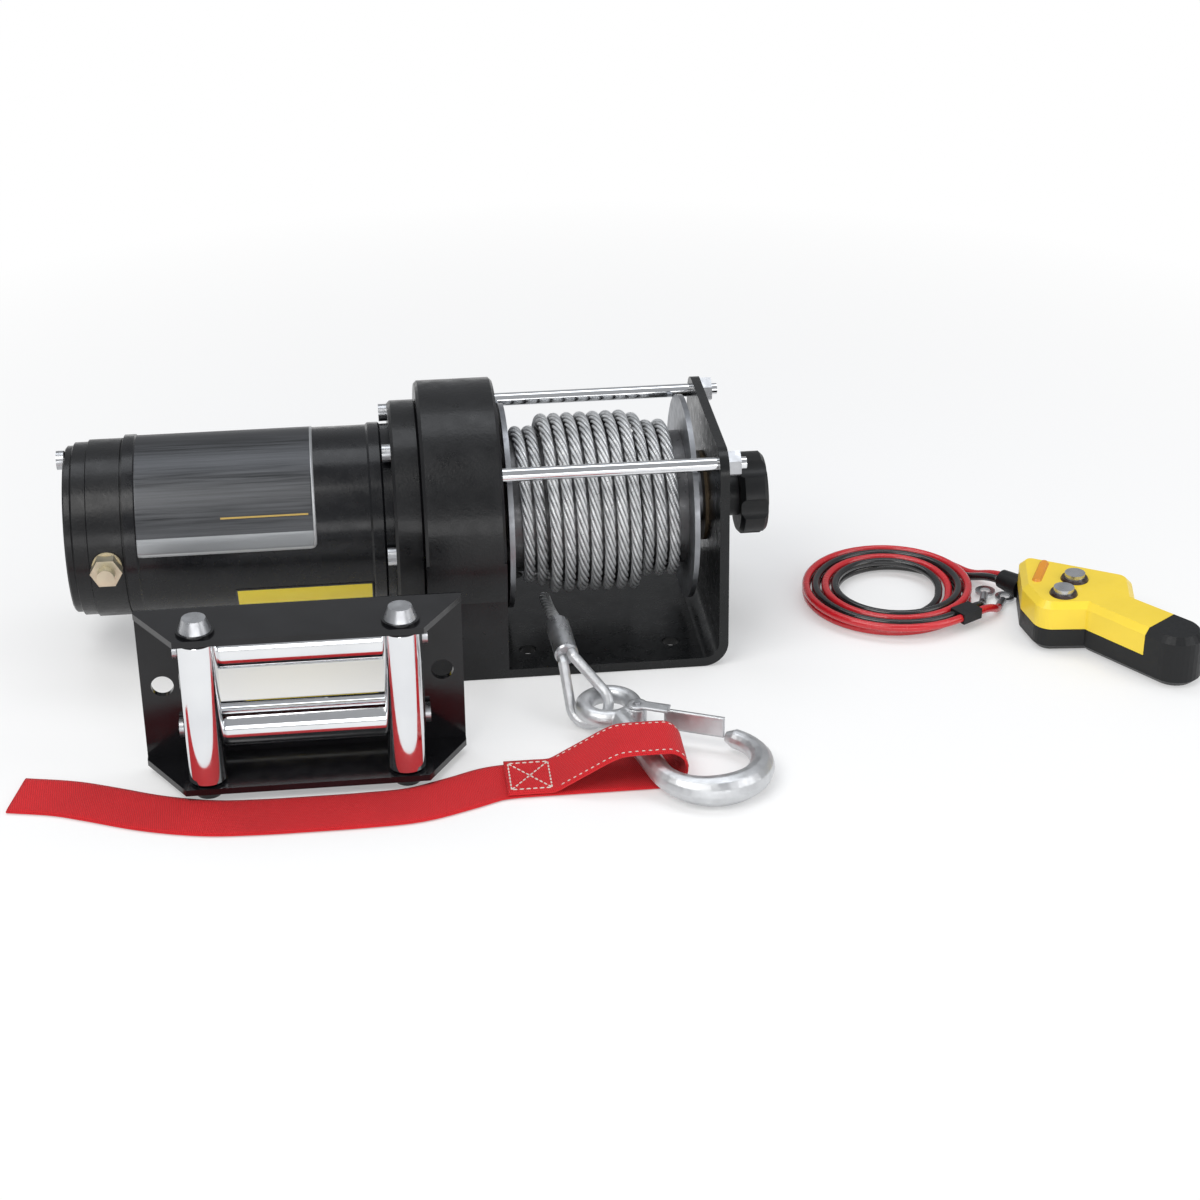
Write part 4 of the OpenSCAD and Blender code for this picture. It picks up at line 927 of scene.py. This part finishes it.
@dataclass(frozen=True)
class View:
    """The photograph's camera, fitted to the winch's own edges."""

    place: Point = (-116.2, -1081.7, 581.3)
    azimuth: float = -6.39
    elevation: float = 27.77
    roll: float = -0.38
    lens: float = 73.6
    sensor: float = 36.0
    clip: Pair = (0.05, 20.0)

    def matrix(self) -> Matrix:
        """Work out where the camera stands and looks.

        Returns:
            Its matrix, in metres.
        """
        a, e, r = (math.radians(v) for v in (self.azimuth, self.elevation, self.roll))
        right = Vector((math.cos(a), math.sin(a), 0))
        ahead = Vector((-math.sin(a) * math.cos(e), math.cos(a) * math.cos(e), -math.sin(e)))
        up = right.cross(ahead)
        rolled_right = right * math.cos(r) + up * math.sin(r)
        rolled_up = up * math.cos(r) - right * math.sin(r)
        matrix = Matrix((rolled_right, rolled_up, -ahead)).transposed().to_4x4()
        matrix.translation = Vector(self.place) * MM
        return matrix


@dataclass(frozen=True)
class Softbox:
    """One studio lamp that looks at a point."""

    name: str
    place: Point
    aim: Point
    size: Pair
    power: float
    colour: Colour = (1.0, 1.0, 1.0)

    def hang(self) -> None:
        """Put the lamp into the scene."""
        data = bpy.data.lights.new(self.name, "AREA")
        data.shape = "RECTANGLE"
        data.size, data.size_y = (v * MM for v in self.size)
        data.energy = self.power
        data.color = self.colour
        obj = put(self.name, data)
        obj.location = Vector(self.place) * MM
        ahead = Vector(self.aim) - Vector(self.place)
        obj.rotation_euler = ahead.to_track_quat("-Z", "Y").to_euler()


@dataclass(frozen=True)
class Studio:
    """Camera, pale floor and soft lights."""

    view: View = View()
    floor_half: float = 6.0
    floor_drop: float = 0.0003
    floor_colour: Colour = (0.93, 0.93, 0.93)
    floor_rough: float = 0.75
    floor_gloss: float = 0.2
    near_white: float = 0.3
    fade_start: float = 0.2
    fade_end: float = 0.65
    sky: Colour = (0.95, 0.97, 1.0)
    sky_strength: float = 0.4
    lamps: tuple[Softbox, ...] = (
        Softbox("key", (-620, -620, 1150), (-60, -40, 40), (900, 700), 8, (1.0, 0.99, 0.97)),
        Softbox("top", (60, 260, 1250), (-40, -20, 50), (1500, 500), 5.5, (0.93, 0.96, 1.0)),
        Softbox("right", (900, -500, 620), (40, -60, 40), (600, 800), 3),
        Softbox("front", (-60, -1250, 260), (-60, -60, 40), (1500, 300), 4),
    )

    def camera(self) -> None:
        """Create the camera at the photograph's place."""
        data = bpy.data.cameras.new("camera")
        data.sensor_fit = "HORIZONTAL"
        data.sensor_width, data.lens = self.view.sensor, self.view.lens
        data.clip_start, data.clip_end = self.view.clip
        obj = put("camera", data)
        obj.matrix_world = self.view.matrix()
        bpy.context.scene.camera = obj

    def floor(self) -> None:
        """Lay a plain pale floor, which isn't part of the object."""
        s, z = self.floor_half, -self.floor_drop
        mesh = bpy.data.meshes.new("floor")
        mesh.from_pydata([(-s, -s, z), (s, -s, z), (s, s, z), (-s, s, z)], [], [(0, 1, 2, 3)])
        mesh.materials.append(self.paper())
        put("floor", mesh)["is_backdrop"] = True

    def paper(self) -> bpy.types.Material:
        """Mix the floor: pale paper near the object that fades to plain white far from it.

        Returns:
            The material.
        """
        n = NodeTree("pale_floor")
        n.set(n.shader, Base_Color=(*self.floor_colour, 1.0), Roughness=self.floor_rough,
              Specular_IOR_Level=self.floor_gloss)
        away = n.add("VectorMath")
        away.operation = "LENGTH"
        n.feed(away.inputs[0], n.add("TexCoord").outputs["Object"])
        path = n.add("LightPath")
        rays = [path.outputs[f"Is {kind} Ray"] for kind in ("Camera", "Glossy", "Transmission")]
        seen = n.math(Sum.MAXIMUM, rays[0], n.math(Sum.MAXIMUM, rays[1], rays[2]))
        far = n.spread(away.outputs["Value"], self.near_white, 1.0, self.fade_start, self.fade_end)
        n.blend(n.math(Sum.MULTIPLY, far, seen), n.add("Emission", Strength=1.0))
        return n.made

    def light(self) -> None:
        """Set an even sky that the camera sees as white, and hang the softboxes."""
        n = NodeTree("studio", world=True)
        n.set(n.shader, Color=(*self.sky, 1.0), Strength=self.sky_strength)
        n.blend(n.add("LightPath").outputs["Is Camera Ray"],
                n.add("Background", Color=(1.0, 1.0, 1.0, 1.0)))
        bpy.context.scene.world = n.made
        for lamp in self.lamps:
            lamp.hang()
        bpy.context.scene.view_settings.view_transform = "Standard"


# --------------------------------------------------------------------------
# Pieces
# --------------------------------------------------------------------------


@dataclass
class Workshop:
    """What every sub-assembly needs: the finishes and the model's nodes."""

    palette: Palette
    nodes: dict[str, bpy.types.Object]

    def piece(self, name: str, data: MeshData, finish: Finish, body: Body, slot: str
              ) -> bpy.types.Object:
        """Build a piece, let it ride on a body and name its slot.

        Args:
            name: The piece's name.
            data: Its mesh, in millimetres.
            finish: Its finish.
            body: The body that carries it.
            slot: A material slot's name; not used.

        Returns:
            The object.
        """
        mesh = bpy.data.meshes.new(name)
        mesh.from_pydata([in_metres(p) for p in data.points], [], data.faces)
        layer = mesh.uv_layers.new(name="UVMap")
        for loop, uv in zip(layer.data, (uv for group in data.uvs for uv in group)):
            loop.uv = uv
        mesh.polygons.foreach_set("use_smooth", [True] * len(mesh.polygons))
        mesh.materials.append(self.palette.of(finish))
        mesh.validate()
        mesh.update()
        obj = put(name, mesh)
        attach(obj, body.value)
        LOG.info("%s: %d faces", name, len(data.faces))
        return obj


@dataclass
class Leads:
    """The red and the black lead, each one unbroken tube."""

    shop: Workshop
    coil: Coil = Coil()
    sides: int = 14
    smoothing: int = 4
    step: float = 1.6
    red_run: tuple[Point, ...] = (
        (212.02, -2.66, 9), (210.92, -0.99, 9), (208.9, 2.2, 8.3), (206.5, 5.9, 7),
        (204, 9.7, 5.2), (201.6, 13.1, 3.6), (199.1, 16.8, 2.5), (196.9, 20.2, 2), (194.7, 23.5, 2),
    )
    black_run: tuple[Point, ...] = (
        (207.94, -5.36, 9), (206.84, -3.69, 9), (204.7, -0.5, 8.3), (202.3, 3.3, 7),
        (199.8, 7.1, 5.2), (197.4, 10.6, 3.6), (194.9, 14.3, 2.5), (192.6, 17.8, 2),
        (190.46, 21.05, 2),
    )
    red_end: tuple[Point, ...] = (
        (180.1, -39.2, 6.9), (190.49, -33.2, 6.9), (193.09, -31.7, 6.9), (195.9, -30.1, 6.6),
        (198.4, -28.5, 5.8), (200.5, -26.7, 4.6), (202, -24.7, 3.3), (203.2, -22.7, 2.3),
        (204.2, -21, 2),
    )
    black_end: tuple[Point, ...] = (
        (177.65, -34.96, 6.9), (188.04, -28.96, 6.9), (190.64, -27.46, 6.9), (192.45, -26.1, 6.5),
        (193.85, -24.5, 5.6), (194.85, -22.6, 4.4), (195.6, -20.6, 3.1), (196.35, -18.5, 2.2),
        (197.1, -16.45, 2), (197.8, -14.55, 2),
    )

    def build(self) -> None:
        """Make both leads."""
        self._lead("lead_red", 0, self.red_run, self.red_end, Finish.RED_LEAD, "ring_terminals")
        self._lead("lead_black", 1, self.black_run, self.black_end, Finish.BLACK_LEAD,
                   "lead_connector")

    def _lead(self, name: str, lane: int, run: Sequence[Point], end: Sequence[Point],
              finish: Finish, carried: str) -> None:
        """Make one lead from the handset to its terminal.

        Args:
            name: The lead's name, and the start of its nodes' names.
            lane: Its lane in the coil.
            run: Points from the handset to the coil.
            end: Points from the coil to the terminal.
            finish: Its insulation.
            carried: The node on it; not used.
        """
        first, last = catmull(run, self.smoothing)[:-1], catmull(end, self.smoothing)
        path = resample(first + self.coil.path(lane) + last, self.step)
        data = sweep(path, round_profile(self.coil.lead_r, self.sides), lambda i: Vector((0, 0, 1)))
        obj = self.shop.piece(name, data, finish, Body.FRAME, name.replace("lead_", "") + "_lead")
        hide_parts(f"{name}_run", f"{name}_coil")


@dataclass
class WireRope:
    """Stranded rope on the drum and out to the ferrule."""

    shop: Workshop
    wound: WoundRope = WoundRope()
    lay: float = 36.0
    rings_per_turn: int = 150
    end_rings: int = 3
    smoothing: int = 4
    step: float = 1.2
    tail: tuple[Point, ...] = (
        (-24, -11.8, 17.9), (-24, -18, 19.5), (-24, -25, 21.3), (-23.9, -32, 23.1),
        (-23.8, -39, 24.9), (-23.6, -46, 26.9), (-23.4, -52.5, 28.9), (-23.2, -59, 30.7),
        (-23.07, -63.5, 31.58), (-23, -64.5, 31.5),
    )

    def build(self) -> None:
        """Make the winding and the free end."""
        self._winding()
        self._free_end()

    def _winding(self) -> None:
        """Wind the rope on the drum, with its two straight ends."""
        w = self.wound
        steps = int(w.turns * self.rings_per_turn)
        path = [w.point(w.turns * i / steps) for i in range(steps + 1)]
        first, last = path[0], path[-1]
        ends = [2 * w.rope_r * k / self.end_rings for k in range(1, self.end_rings + 1)]
        path = ([(first[0], first[1], first[2] - d) for d in reversed(ends)] + path
                + [(last[0], last[1], last[2] + d) for d in ends])
        data = sweep(path, strand_profile(w.rope_r, self.lay),
                     lambda i: Vector((0, -path[i][1], w.axis_z - path[i][2])))
        obj = self.shop.piece("rope_on_drum", data, Finish.ROPE, Body.DRUM, "wire_rope")
        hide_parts("rope_winding")

    def _free_end(self) -> None:
        path = resample(catmull(self.tail, self.smoothing), self.step)
        data = sweep(path, strand_profile(self.wound.rope_r, self.lay), lambda i: Vector((1, 0, 0)))
        obj = self.shop.piece("rope_free_end", data, Finish.ROPE, Body.FRAME, "wire_rope")
        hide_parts("rope_tail")


@dataclass
class ClutchSpring:
    """The spring inside the drum, wound at one fixed length; the real one shortens as the knob is
    pulled.
    """

    shop: Workshop
    node: str = "clutch_spring"
    joint: str = "clutch_pull"
    wire_r: float = 0.75
    wire_sides: int = 10
    curls: int = 7
    steps_per_curl: int = 24
    travel: float = 8.0

    def build(self) -> None:
        """Wind the spring where its node lies."""
        low, high = (Vector(corner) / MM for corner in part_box(self.node))
        middle, radius = (low + high) / 2, (high.z - low.z) / 2 - self.wire_r
        start, end = low.x + self.wire_r, high.x - self.wire_r
        steps = self.curls * self.steps_per_curl
        path: list[Point] = []
        for i in range(steps + 1):
            a = 2 * math.pi * i / self.steps_per_curl
            path.append((start + (end - start) * i / steps, middle.y + radius * math.cos(a),
                         middle.z + radius * math.sin(a)))
        data = sweep(path, round_profile(self.wire_r, self.wire_sides), lambda i: Vector((1, 0, 0)))
        obj = self.shop.piece("clutch_spring_coil", data, Finish.ZINC, Body.DRUM, "zinc")
        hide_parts(self.node)
        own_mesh(obj)


@dataclass
class Strap:
    """One length of webbing: a tail on the floor and a loop round the hook.

    The loop runs low under the hook, round the bow, over the crest and down to the joint. The
    box values place the sewn box and cross, and the line values the seams along the loop's edges.
    """

    shop: Workshop
    width: float = 28.0
    thickness: float = 1.5
    loop_y: float = -153.0
    loop_half_h: float = 9.6
    fold_x: float = 25.5
    stitch_right: float = -34.0
    stitch_left: float = -55.0
    threads_across: int = 14
    skin_share: float = 0.46
    edge_start: float = 0.93
    edge_thinning: float = 0.75
    edge_inset: float = 2.2
    ground_smoothing: int = 6
    ground_step: float = 2.0
    loop_smoothing: int = 5
    loop_step: float = 1.5
    low_x: tuple[float, ...] = (-26, -16, -6, 4)
    bow_angles: tuple[int, ...] = tuple(range(-90, 91, 15))
    crest: tuple[Pair, ...] = ((6, 0), (0, 0.1), (-5, 0.7))
    fall_shares: tuple[float, ...] = (0.2, 0.4, 0.6, 0.8, 0.93)
    joint_x: tuple[float, ...] = (-35, -42, -55)
    box_insets: Point = (1.8, 1.2, 3.0)
    box_pitch: float = 2.9
    line_start: float = 0.7
    line_rings: int = 2
    line_end: int = 16
    line_size: float = 0.75
    stitch_half: Point = (1.05, 0.42, 0.34)
    stitch_sides: int = 6
    stitch_form: tuple[Pair, ...] = ((-1, 0.35), (-0.6, 0.9), (0, 1), (0.6, 0.9), (1, 0.35))
    route: tuple[Pair, ...] = (
        (-271, -138), (-250, -143), (-234, -149.5), (-210, -160.2), (-186, -167),
        (-164, -168.9), (-142, -169.2), (-118, -169), (-96, -167.4), (-76, -160.6),
        (-62, -154.8), (-52, -153.2), (-44, -153), (-34, -153),
    )

    def build(self) -> None:
        centre, sides = self._line()
        obj = self.shop.piece("strap_webbing", self._ribbon(centre, sides), Finish.WEBBING,
                              Body.FRAME, "red_webbing")
        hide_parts("strap_loop", "strap_tail")
        stitches = self.shop.piece("strap_stitching", self._stitches(centre, sides), Finish.THREAD,
                                   Body.FRAME, "red_webbing")

    def _line(self) -> tuple[list[Point], list[Vector]]:
        """Lay the webbing's middle line.

        Returns:
            Its points and its direction across at each point.
        """
        half = self.thickness / 2
        ground = catmull([(x, y, half) for x, y in self.route], self.ground_smoothing)
        ground = resample(ground, self.ground_step)
        sides = []
        for i in range(len(ground)):
            along = heading(ground, i)
            sides.append(Vector((-along.y, along.x, 0)).normalized())
        middle_x, r = self.fold_x - self.loop_half_h, self.loop_half_h - half
        top = 2 * self.loop_half_h - half
        profile = [(x, half) for x in self.low_x]
        for a in map(math.radians, self.bow_angles):
            profile.append((middle_x + r * math.cos(a), self.loop_half_h + r * math.sin(a)))
        profile += [(x, top - drop) for x, drop in self.crest]
        rise_x, fall = self.crest[-1][0], top - self.thickness - half
        profile += [(rise_x + (self.stitch_right - rise_x) * share, top - fall * share)
                    for share in self.fall_shares]
        profile += [(x, 3 * half) for x in self.joint_x]
        loop = [ground[-1]] + [(x, self.loop_y, z) for x, z in profile]
        line = resample(catmull(loop, self.loop_smoothing), self.loop_step)[1:]
        return ground + line, sides + [Vector((0, 1, 0))] * len(line)

    def _ribbon(self, centre: Sequence[Point], sides: Sequence[Vector]) -> MeshData:
        """Weave the webbing along its line, with soft edges.

        Args:
            centre: Points of the middle line.
            sides: Direction across at each point.

        Returns:
            The closed mesh, with UVs in millimetres.
        """
        n = self.threads_across
        half_w, half_t = self.width / 2, self.thickness * self.skin_share
        across = [-1 + 2 * k / n for k in range(n + 1)]
        rings: list[list[Point]] = []
        for i, c in enumerate(centre):
            up = heading(centre, i).cross(sides[i]).normalized()
            top, low = [], []
            for u in across:
                past = max(0.0, (abs(u) - self.edge_start) / (1 - self.edge_start))
                rise = up * half_t * math.sqrt(1 - self.edge_thinning * past ** 2)
                at = Vector(c) + sides[i] * half_w * u
                top.append(tuple(at + rise))
                low.append(tuple(at - rise))
            rings.append(low + top[::-1])
        place = [u * half_w for u in across + across[::-1]]
        return skin(rings, marks_along(centre), place + place[:1])

    def _stitches(self, centre: Sequence[Point], sides: Sequence[Vector]) -> MeshData:
        """Sew a box and cross over the joint and a line along each edge of the loop.

        Args:
            centre: Points of the webbing's middle line.
            sides: Direction across at each point.

        Returns:
            All the stitches as one mesh.
        """
        data = MeshData()
        up, top = Vector((0, 0, 1)), 2 * self.thickness
        left, right, side = self.box_insets
        x0, x1 = self.stitch_left + left, self.stitch_right - right
        y0, y1 = self.loop_y - self.width / 2 + side, self.loop_y + self.width / 2 - side
        a, b, c, d = (Vector((x, y, top)) for x, y in ((x0, y0), (x1, y0), (x1, y1), (x0, y1)))
        for first, last in ((a, b), (b, c), (c, d), (d, a), (a, c), (b, d)):
            line = last - first
            count = max(MIN_PIECES, round(line.length / self.box_pitch))
            for k in range(count):
                at = first + line * ((k + 0.5) / count)
                self._stitch(data, at, line.normalized(), up, 1.0)
        fold = next(i for i, p in enumerate(centre) if p[2] > self.loop_half_h * self.line_start)
        for i in range(fold, len(centre) - self.line_end, self.line_rings):
            along = heading(centre, i)
            out = sides[i].cross(along).normalized()
            for edge in (-1, 1):
                at = (Vector(centre[i]) + sides[i] * edge * (self.width / 2 - self.edge_inset)
                      + out * self.thickness * self.skin_share)
                self._stitch(data, at, along, out, self.line_size)
        return data

    def _stitch(self, data: MeshData, at: Vector, along: Vector, up: Vector, size: float) -> None:
        """Sew one raised stitch, shaped like a grain.

        Args:
            data: The mesh that it joins.
            at: Its middle.
            along: Its direction.
            up: The way off the webbing.
            size: Its size, 1 for the box and cross.
        """
        half_l, half_w, half_h = (v * size for v in self.stitch_half)
        side = along.cross(up)
        angles = [2 * math.pi * k / self.stitch_sides for k in range(self.stitch_sides)]
        grain = skin([[tuple(at + along * t * half_l + side * math.cos(a) * half_w * r
                             + up * math.sin(a) * half_h * r) for a in angles]
                      for t, r in self.stitch_form])
        data.add(grain.points, grain.faces)


@dataclass(frozen=True)
class CurvedPlate:
    """A thin plate with rounded corners that follows the motor can."""

    name: str
    x0: float
    x1: float
    low: float
    high: float
    thickness: float
    corner: float
    lift: float = 0.05
    can_r: float = 43.0
    axis_z: float = 63.5
    columns: int = 40
    rows: int = 36

    def mesh(self) -> MeshData:
        """Bend the plate round the can.

        Returns:
            Both skins, closed round the rim, with UVs from 0 to 1.
        """
        skins = self._skin(self.lift + self.thickness) + self._skin(self.lift)
        size = (self.columns + 1) * (self.rows + 1)
        faces, uvs = [], []
        for i in range(self.columns):
            for k in range(self.rows):
                a, b = i * (self.rows + 1) + k, (i + 1) * (self.rows + 1) + k
                u0, u1 = i / self.columns, (i + 1) / self.columns
                v0, v1 = k / self.rows, (k + 1) / self.rows
                faces += [(a, b, b + 1, a + 1), (size + a, size + a + 1, size + b + 1, size + b)]
                uvs += [[(u0, v0), (u1, v0), (u1, v1), (u0, v1)],
                        [(u0, v0), (u0, v1), (u1, v1), (u1, v0)]]
        rim = self._rim()
        for a, b in zip(rim, rim[1:] + rim[:1]):
            faces.append((a, size + a, size + b, b))
            uvs.append([(0.0, 0.0)] * 4)
        data = MeshData()
        data.add(skins, faces, uvs)
        return data

    def _skin(self, rise: float) -> list[Point]:
        """Lay one skin's grid.

        Args:
            rise: Its height over the can.

        Returns:
            Its points, column by column.
        """
        width = self.x1 - self.x0
        arc = math.radians(self.high - self.low) * self.can_r
        out: list[Point] = []
        for i in range(self.columns + 1):
            for k in range(self.rows + 1):
                x, s = self._rounded(width * i / self.columns, arc * k / self.rows, width, arc)
                a, r = math.radians(self.low) + s / self.can_r, self.can_r + rise
                out.append((self.x0 + x, -r * math.cos(a), self.axis_z + r * math.sin(a)))
        return out

    def _rounded(self, x: float, s: float, width: float, arc: float) -> Pair:
        """Pull a point that lies in a square corner onto the rounded one.

        Args:
            x: Place across.
            s: Place round the can.
            width: The plate's width.
            arc: The plate's length round the can.

        Returns:
            The place across and round the can.
        """
        dx, ds = self.corner - min(x, width - x), self.corner - min(s, arc - s)
        if dx <= 0 or ds <= 0:
            return x, s
        scale = max(dx, ds) / math.hypot(dx, ds)
        near_x, near_s = self.corner - dx * scale, self.corner - ds * scale
        return (near_x if x < width / 2 else width - near_x,
                near_s if s < arc / 2 else arc - near_s)

    def _rim(self) -> list[int]:
        """Walk round the grid's edge.

        Returns:
            Indices of its points, in order.
        """
        step, last = self.rows + 1, self.columns * (self.rows + 1)
        return ([i * step for i in range(self.columns + 1)]
                + [last + k for k in range(1, self.rows + 1)]
                + [i * step + self.rows for i in range(self.columns - 1, -1, -1)]
                + list(range(self.rows - 1, 0, -1)))


@dataclass
class MotorPlates:
    """The bare label and the bare strip on the motor can."""

    shop: Workshop
    label: CurvedPlate = CurvedPlate("motor_label", -218, -133, 5, 115, 0.35, 3.0)
    strip: CurvedPlate = CurvedPlate("motor_strip", -173, -107.5, -60, -24, 0.2, 1.0)

    def build(self) -> None:
        """Make both plates."""
        for plate, finish, slot in ((self.label, Finish.LABEL, "zinc"),
                                    (self.strip, Finish.STRIP, "yellow_plastic")):
            self.shop.piece(plate.name, plate.mesh(), finish, Body.FRAME, slot)


@dataclass
class Dresser:
    """Gives every node of the model its finish."""

    shop: Workshop
    choice: dict[Finish, tuple[str, ...]] = field(default_factory=lambda: {
        Finish.BASE_PAINT: ("base_frame",),
        Finish.CAST_PAINT: ("gear_housing", "gear_cover", "motor_adapter", "motor_end_bell"),
        Finish.MOTOR_PAINT: ("motor_can",),
        Finish.GLOSS_PAINT: ("fairlead_frame", "fairlead_nuts"),
        Finish.ZINC: ("housing_screws", "through_bolts", "clutch_spring", "clutch_rod",
                      "tie_rod_nuts", "fairlead_pins", "rope_ferrule", "latch_pin", "ring_terminals"),
        Finish.GEAR_STEEL: ("motor_bearings", "motor_shaft", "ring_gear", "planet_gear_1",
                            "planet_gear_2", "planet_gear_3", "planet_carrier", "clutch_dog"),
        Finish.DRUM_STEEL: ("drum",),
        Finish.FORGED_ZINC: ("rope_thimble", "hook", "hook_latch"),
        Finish.BRASS: ("terminal_studs",),
        Finish.BRONZE: ("drum_bushes",),
        Finish.COPPER: ("armature_core", "commutator"),
        Finish.MAGNET: ("magnets",),
        Finish.CREAM: ("terminal_insulators",),
        Finish.BRUSH_PLATE: ("brush_gear",),
        Finish.CHROME: ("tie_rods", "roller_left", "roller_right", "roller_upper", "roller_lower"),
        Finish.ROPE: ("rope_layers", "rope_winding", "rope_tail"),
        Finish.WEBBING: ("strap_loop", "strap_tail"),
        Finish.YELLOW: ("handset_front",),
        Finish.ORANGE: ("handset_ridge",),
        Finish.BLACK_PLASTIC: ("clutch_knob", "handset_rear", "strain_relief", "lead_connector"),
        Finish.BROWN_BEZEL: ("button_bezels",),
        Finish.BUTTON_PLATE: ("button_in", "button_out"),
        Finish.RED_LEAD: ("lead_red_run", "lead_red_coil"),
        Finish.BLACK_LEAD: ("lead_black_run", "lead_black_coil"),
    })

    def build(self) -> None:
        """Put each finish on its nodes' own material slots."""
        left = set(self.shop.nodes)
        for finish, names in self.choice.items():
            for name in names:
                left.discard(name)
                obj = self.shop.nodes[name]
                if not obj.material_slots:
                    obj.data.materials.append(None)
                for slot in obj.material_slots:
                    slot.material = self.shop.palette.of(finish)
        LOG.info("nodes without a finish: %s", sorted(left) or "none")


def plain(value: object) -> object:
    """Turn a number or nested vectors into plain floats and lists."""
    return [plain(v) for v in value] if hasattr(value, "__len__") else float(value)


def main() -> None:
    """Build the whole scene."""
    logging.basicConfig(level=logging.INFO, format="%(name)s: %(message)s")
    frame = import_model()
    cad_box = plain(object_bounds())
    studio = Studio()
    studio.camera()
    shop = Workshop(Palette(), frame["nodes"])
    for assembly in (Leads(shop), WireRope(shop), ClutchSpring(shop), Strap(shop), MotorPlates(shop),
                     Dresser(shop)):
        assembly.build()
        LOG.info("%s is built", type(assembly).__name__)
    studio.floor()
    studio.light()
    json.dumps({"cad": cad_box, "visual": plain(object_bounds())})


if __name__ == "__main__":
    main()
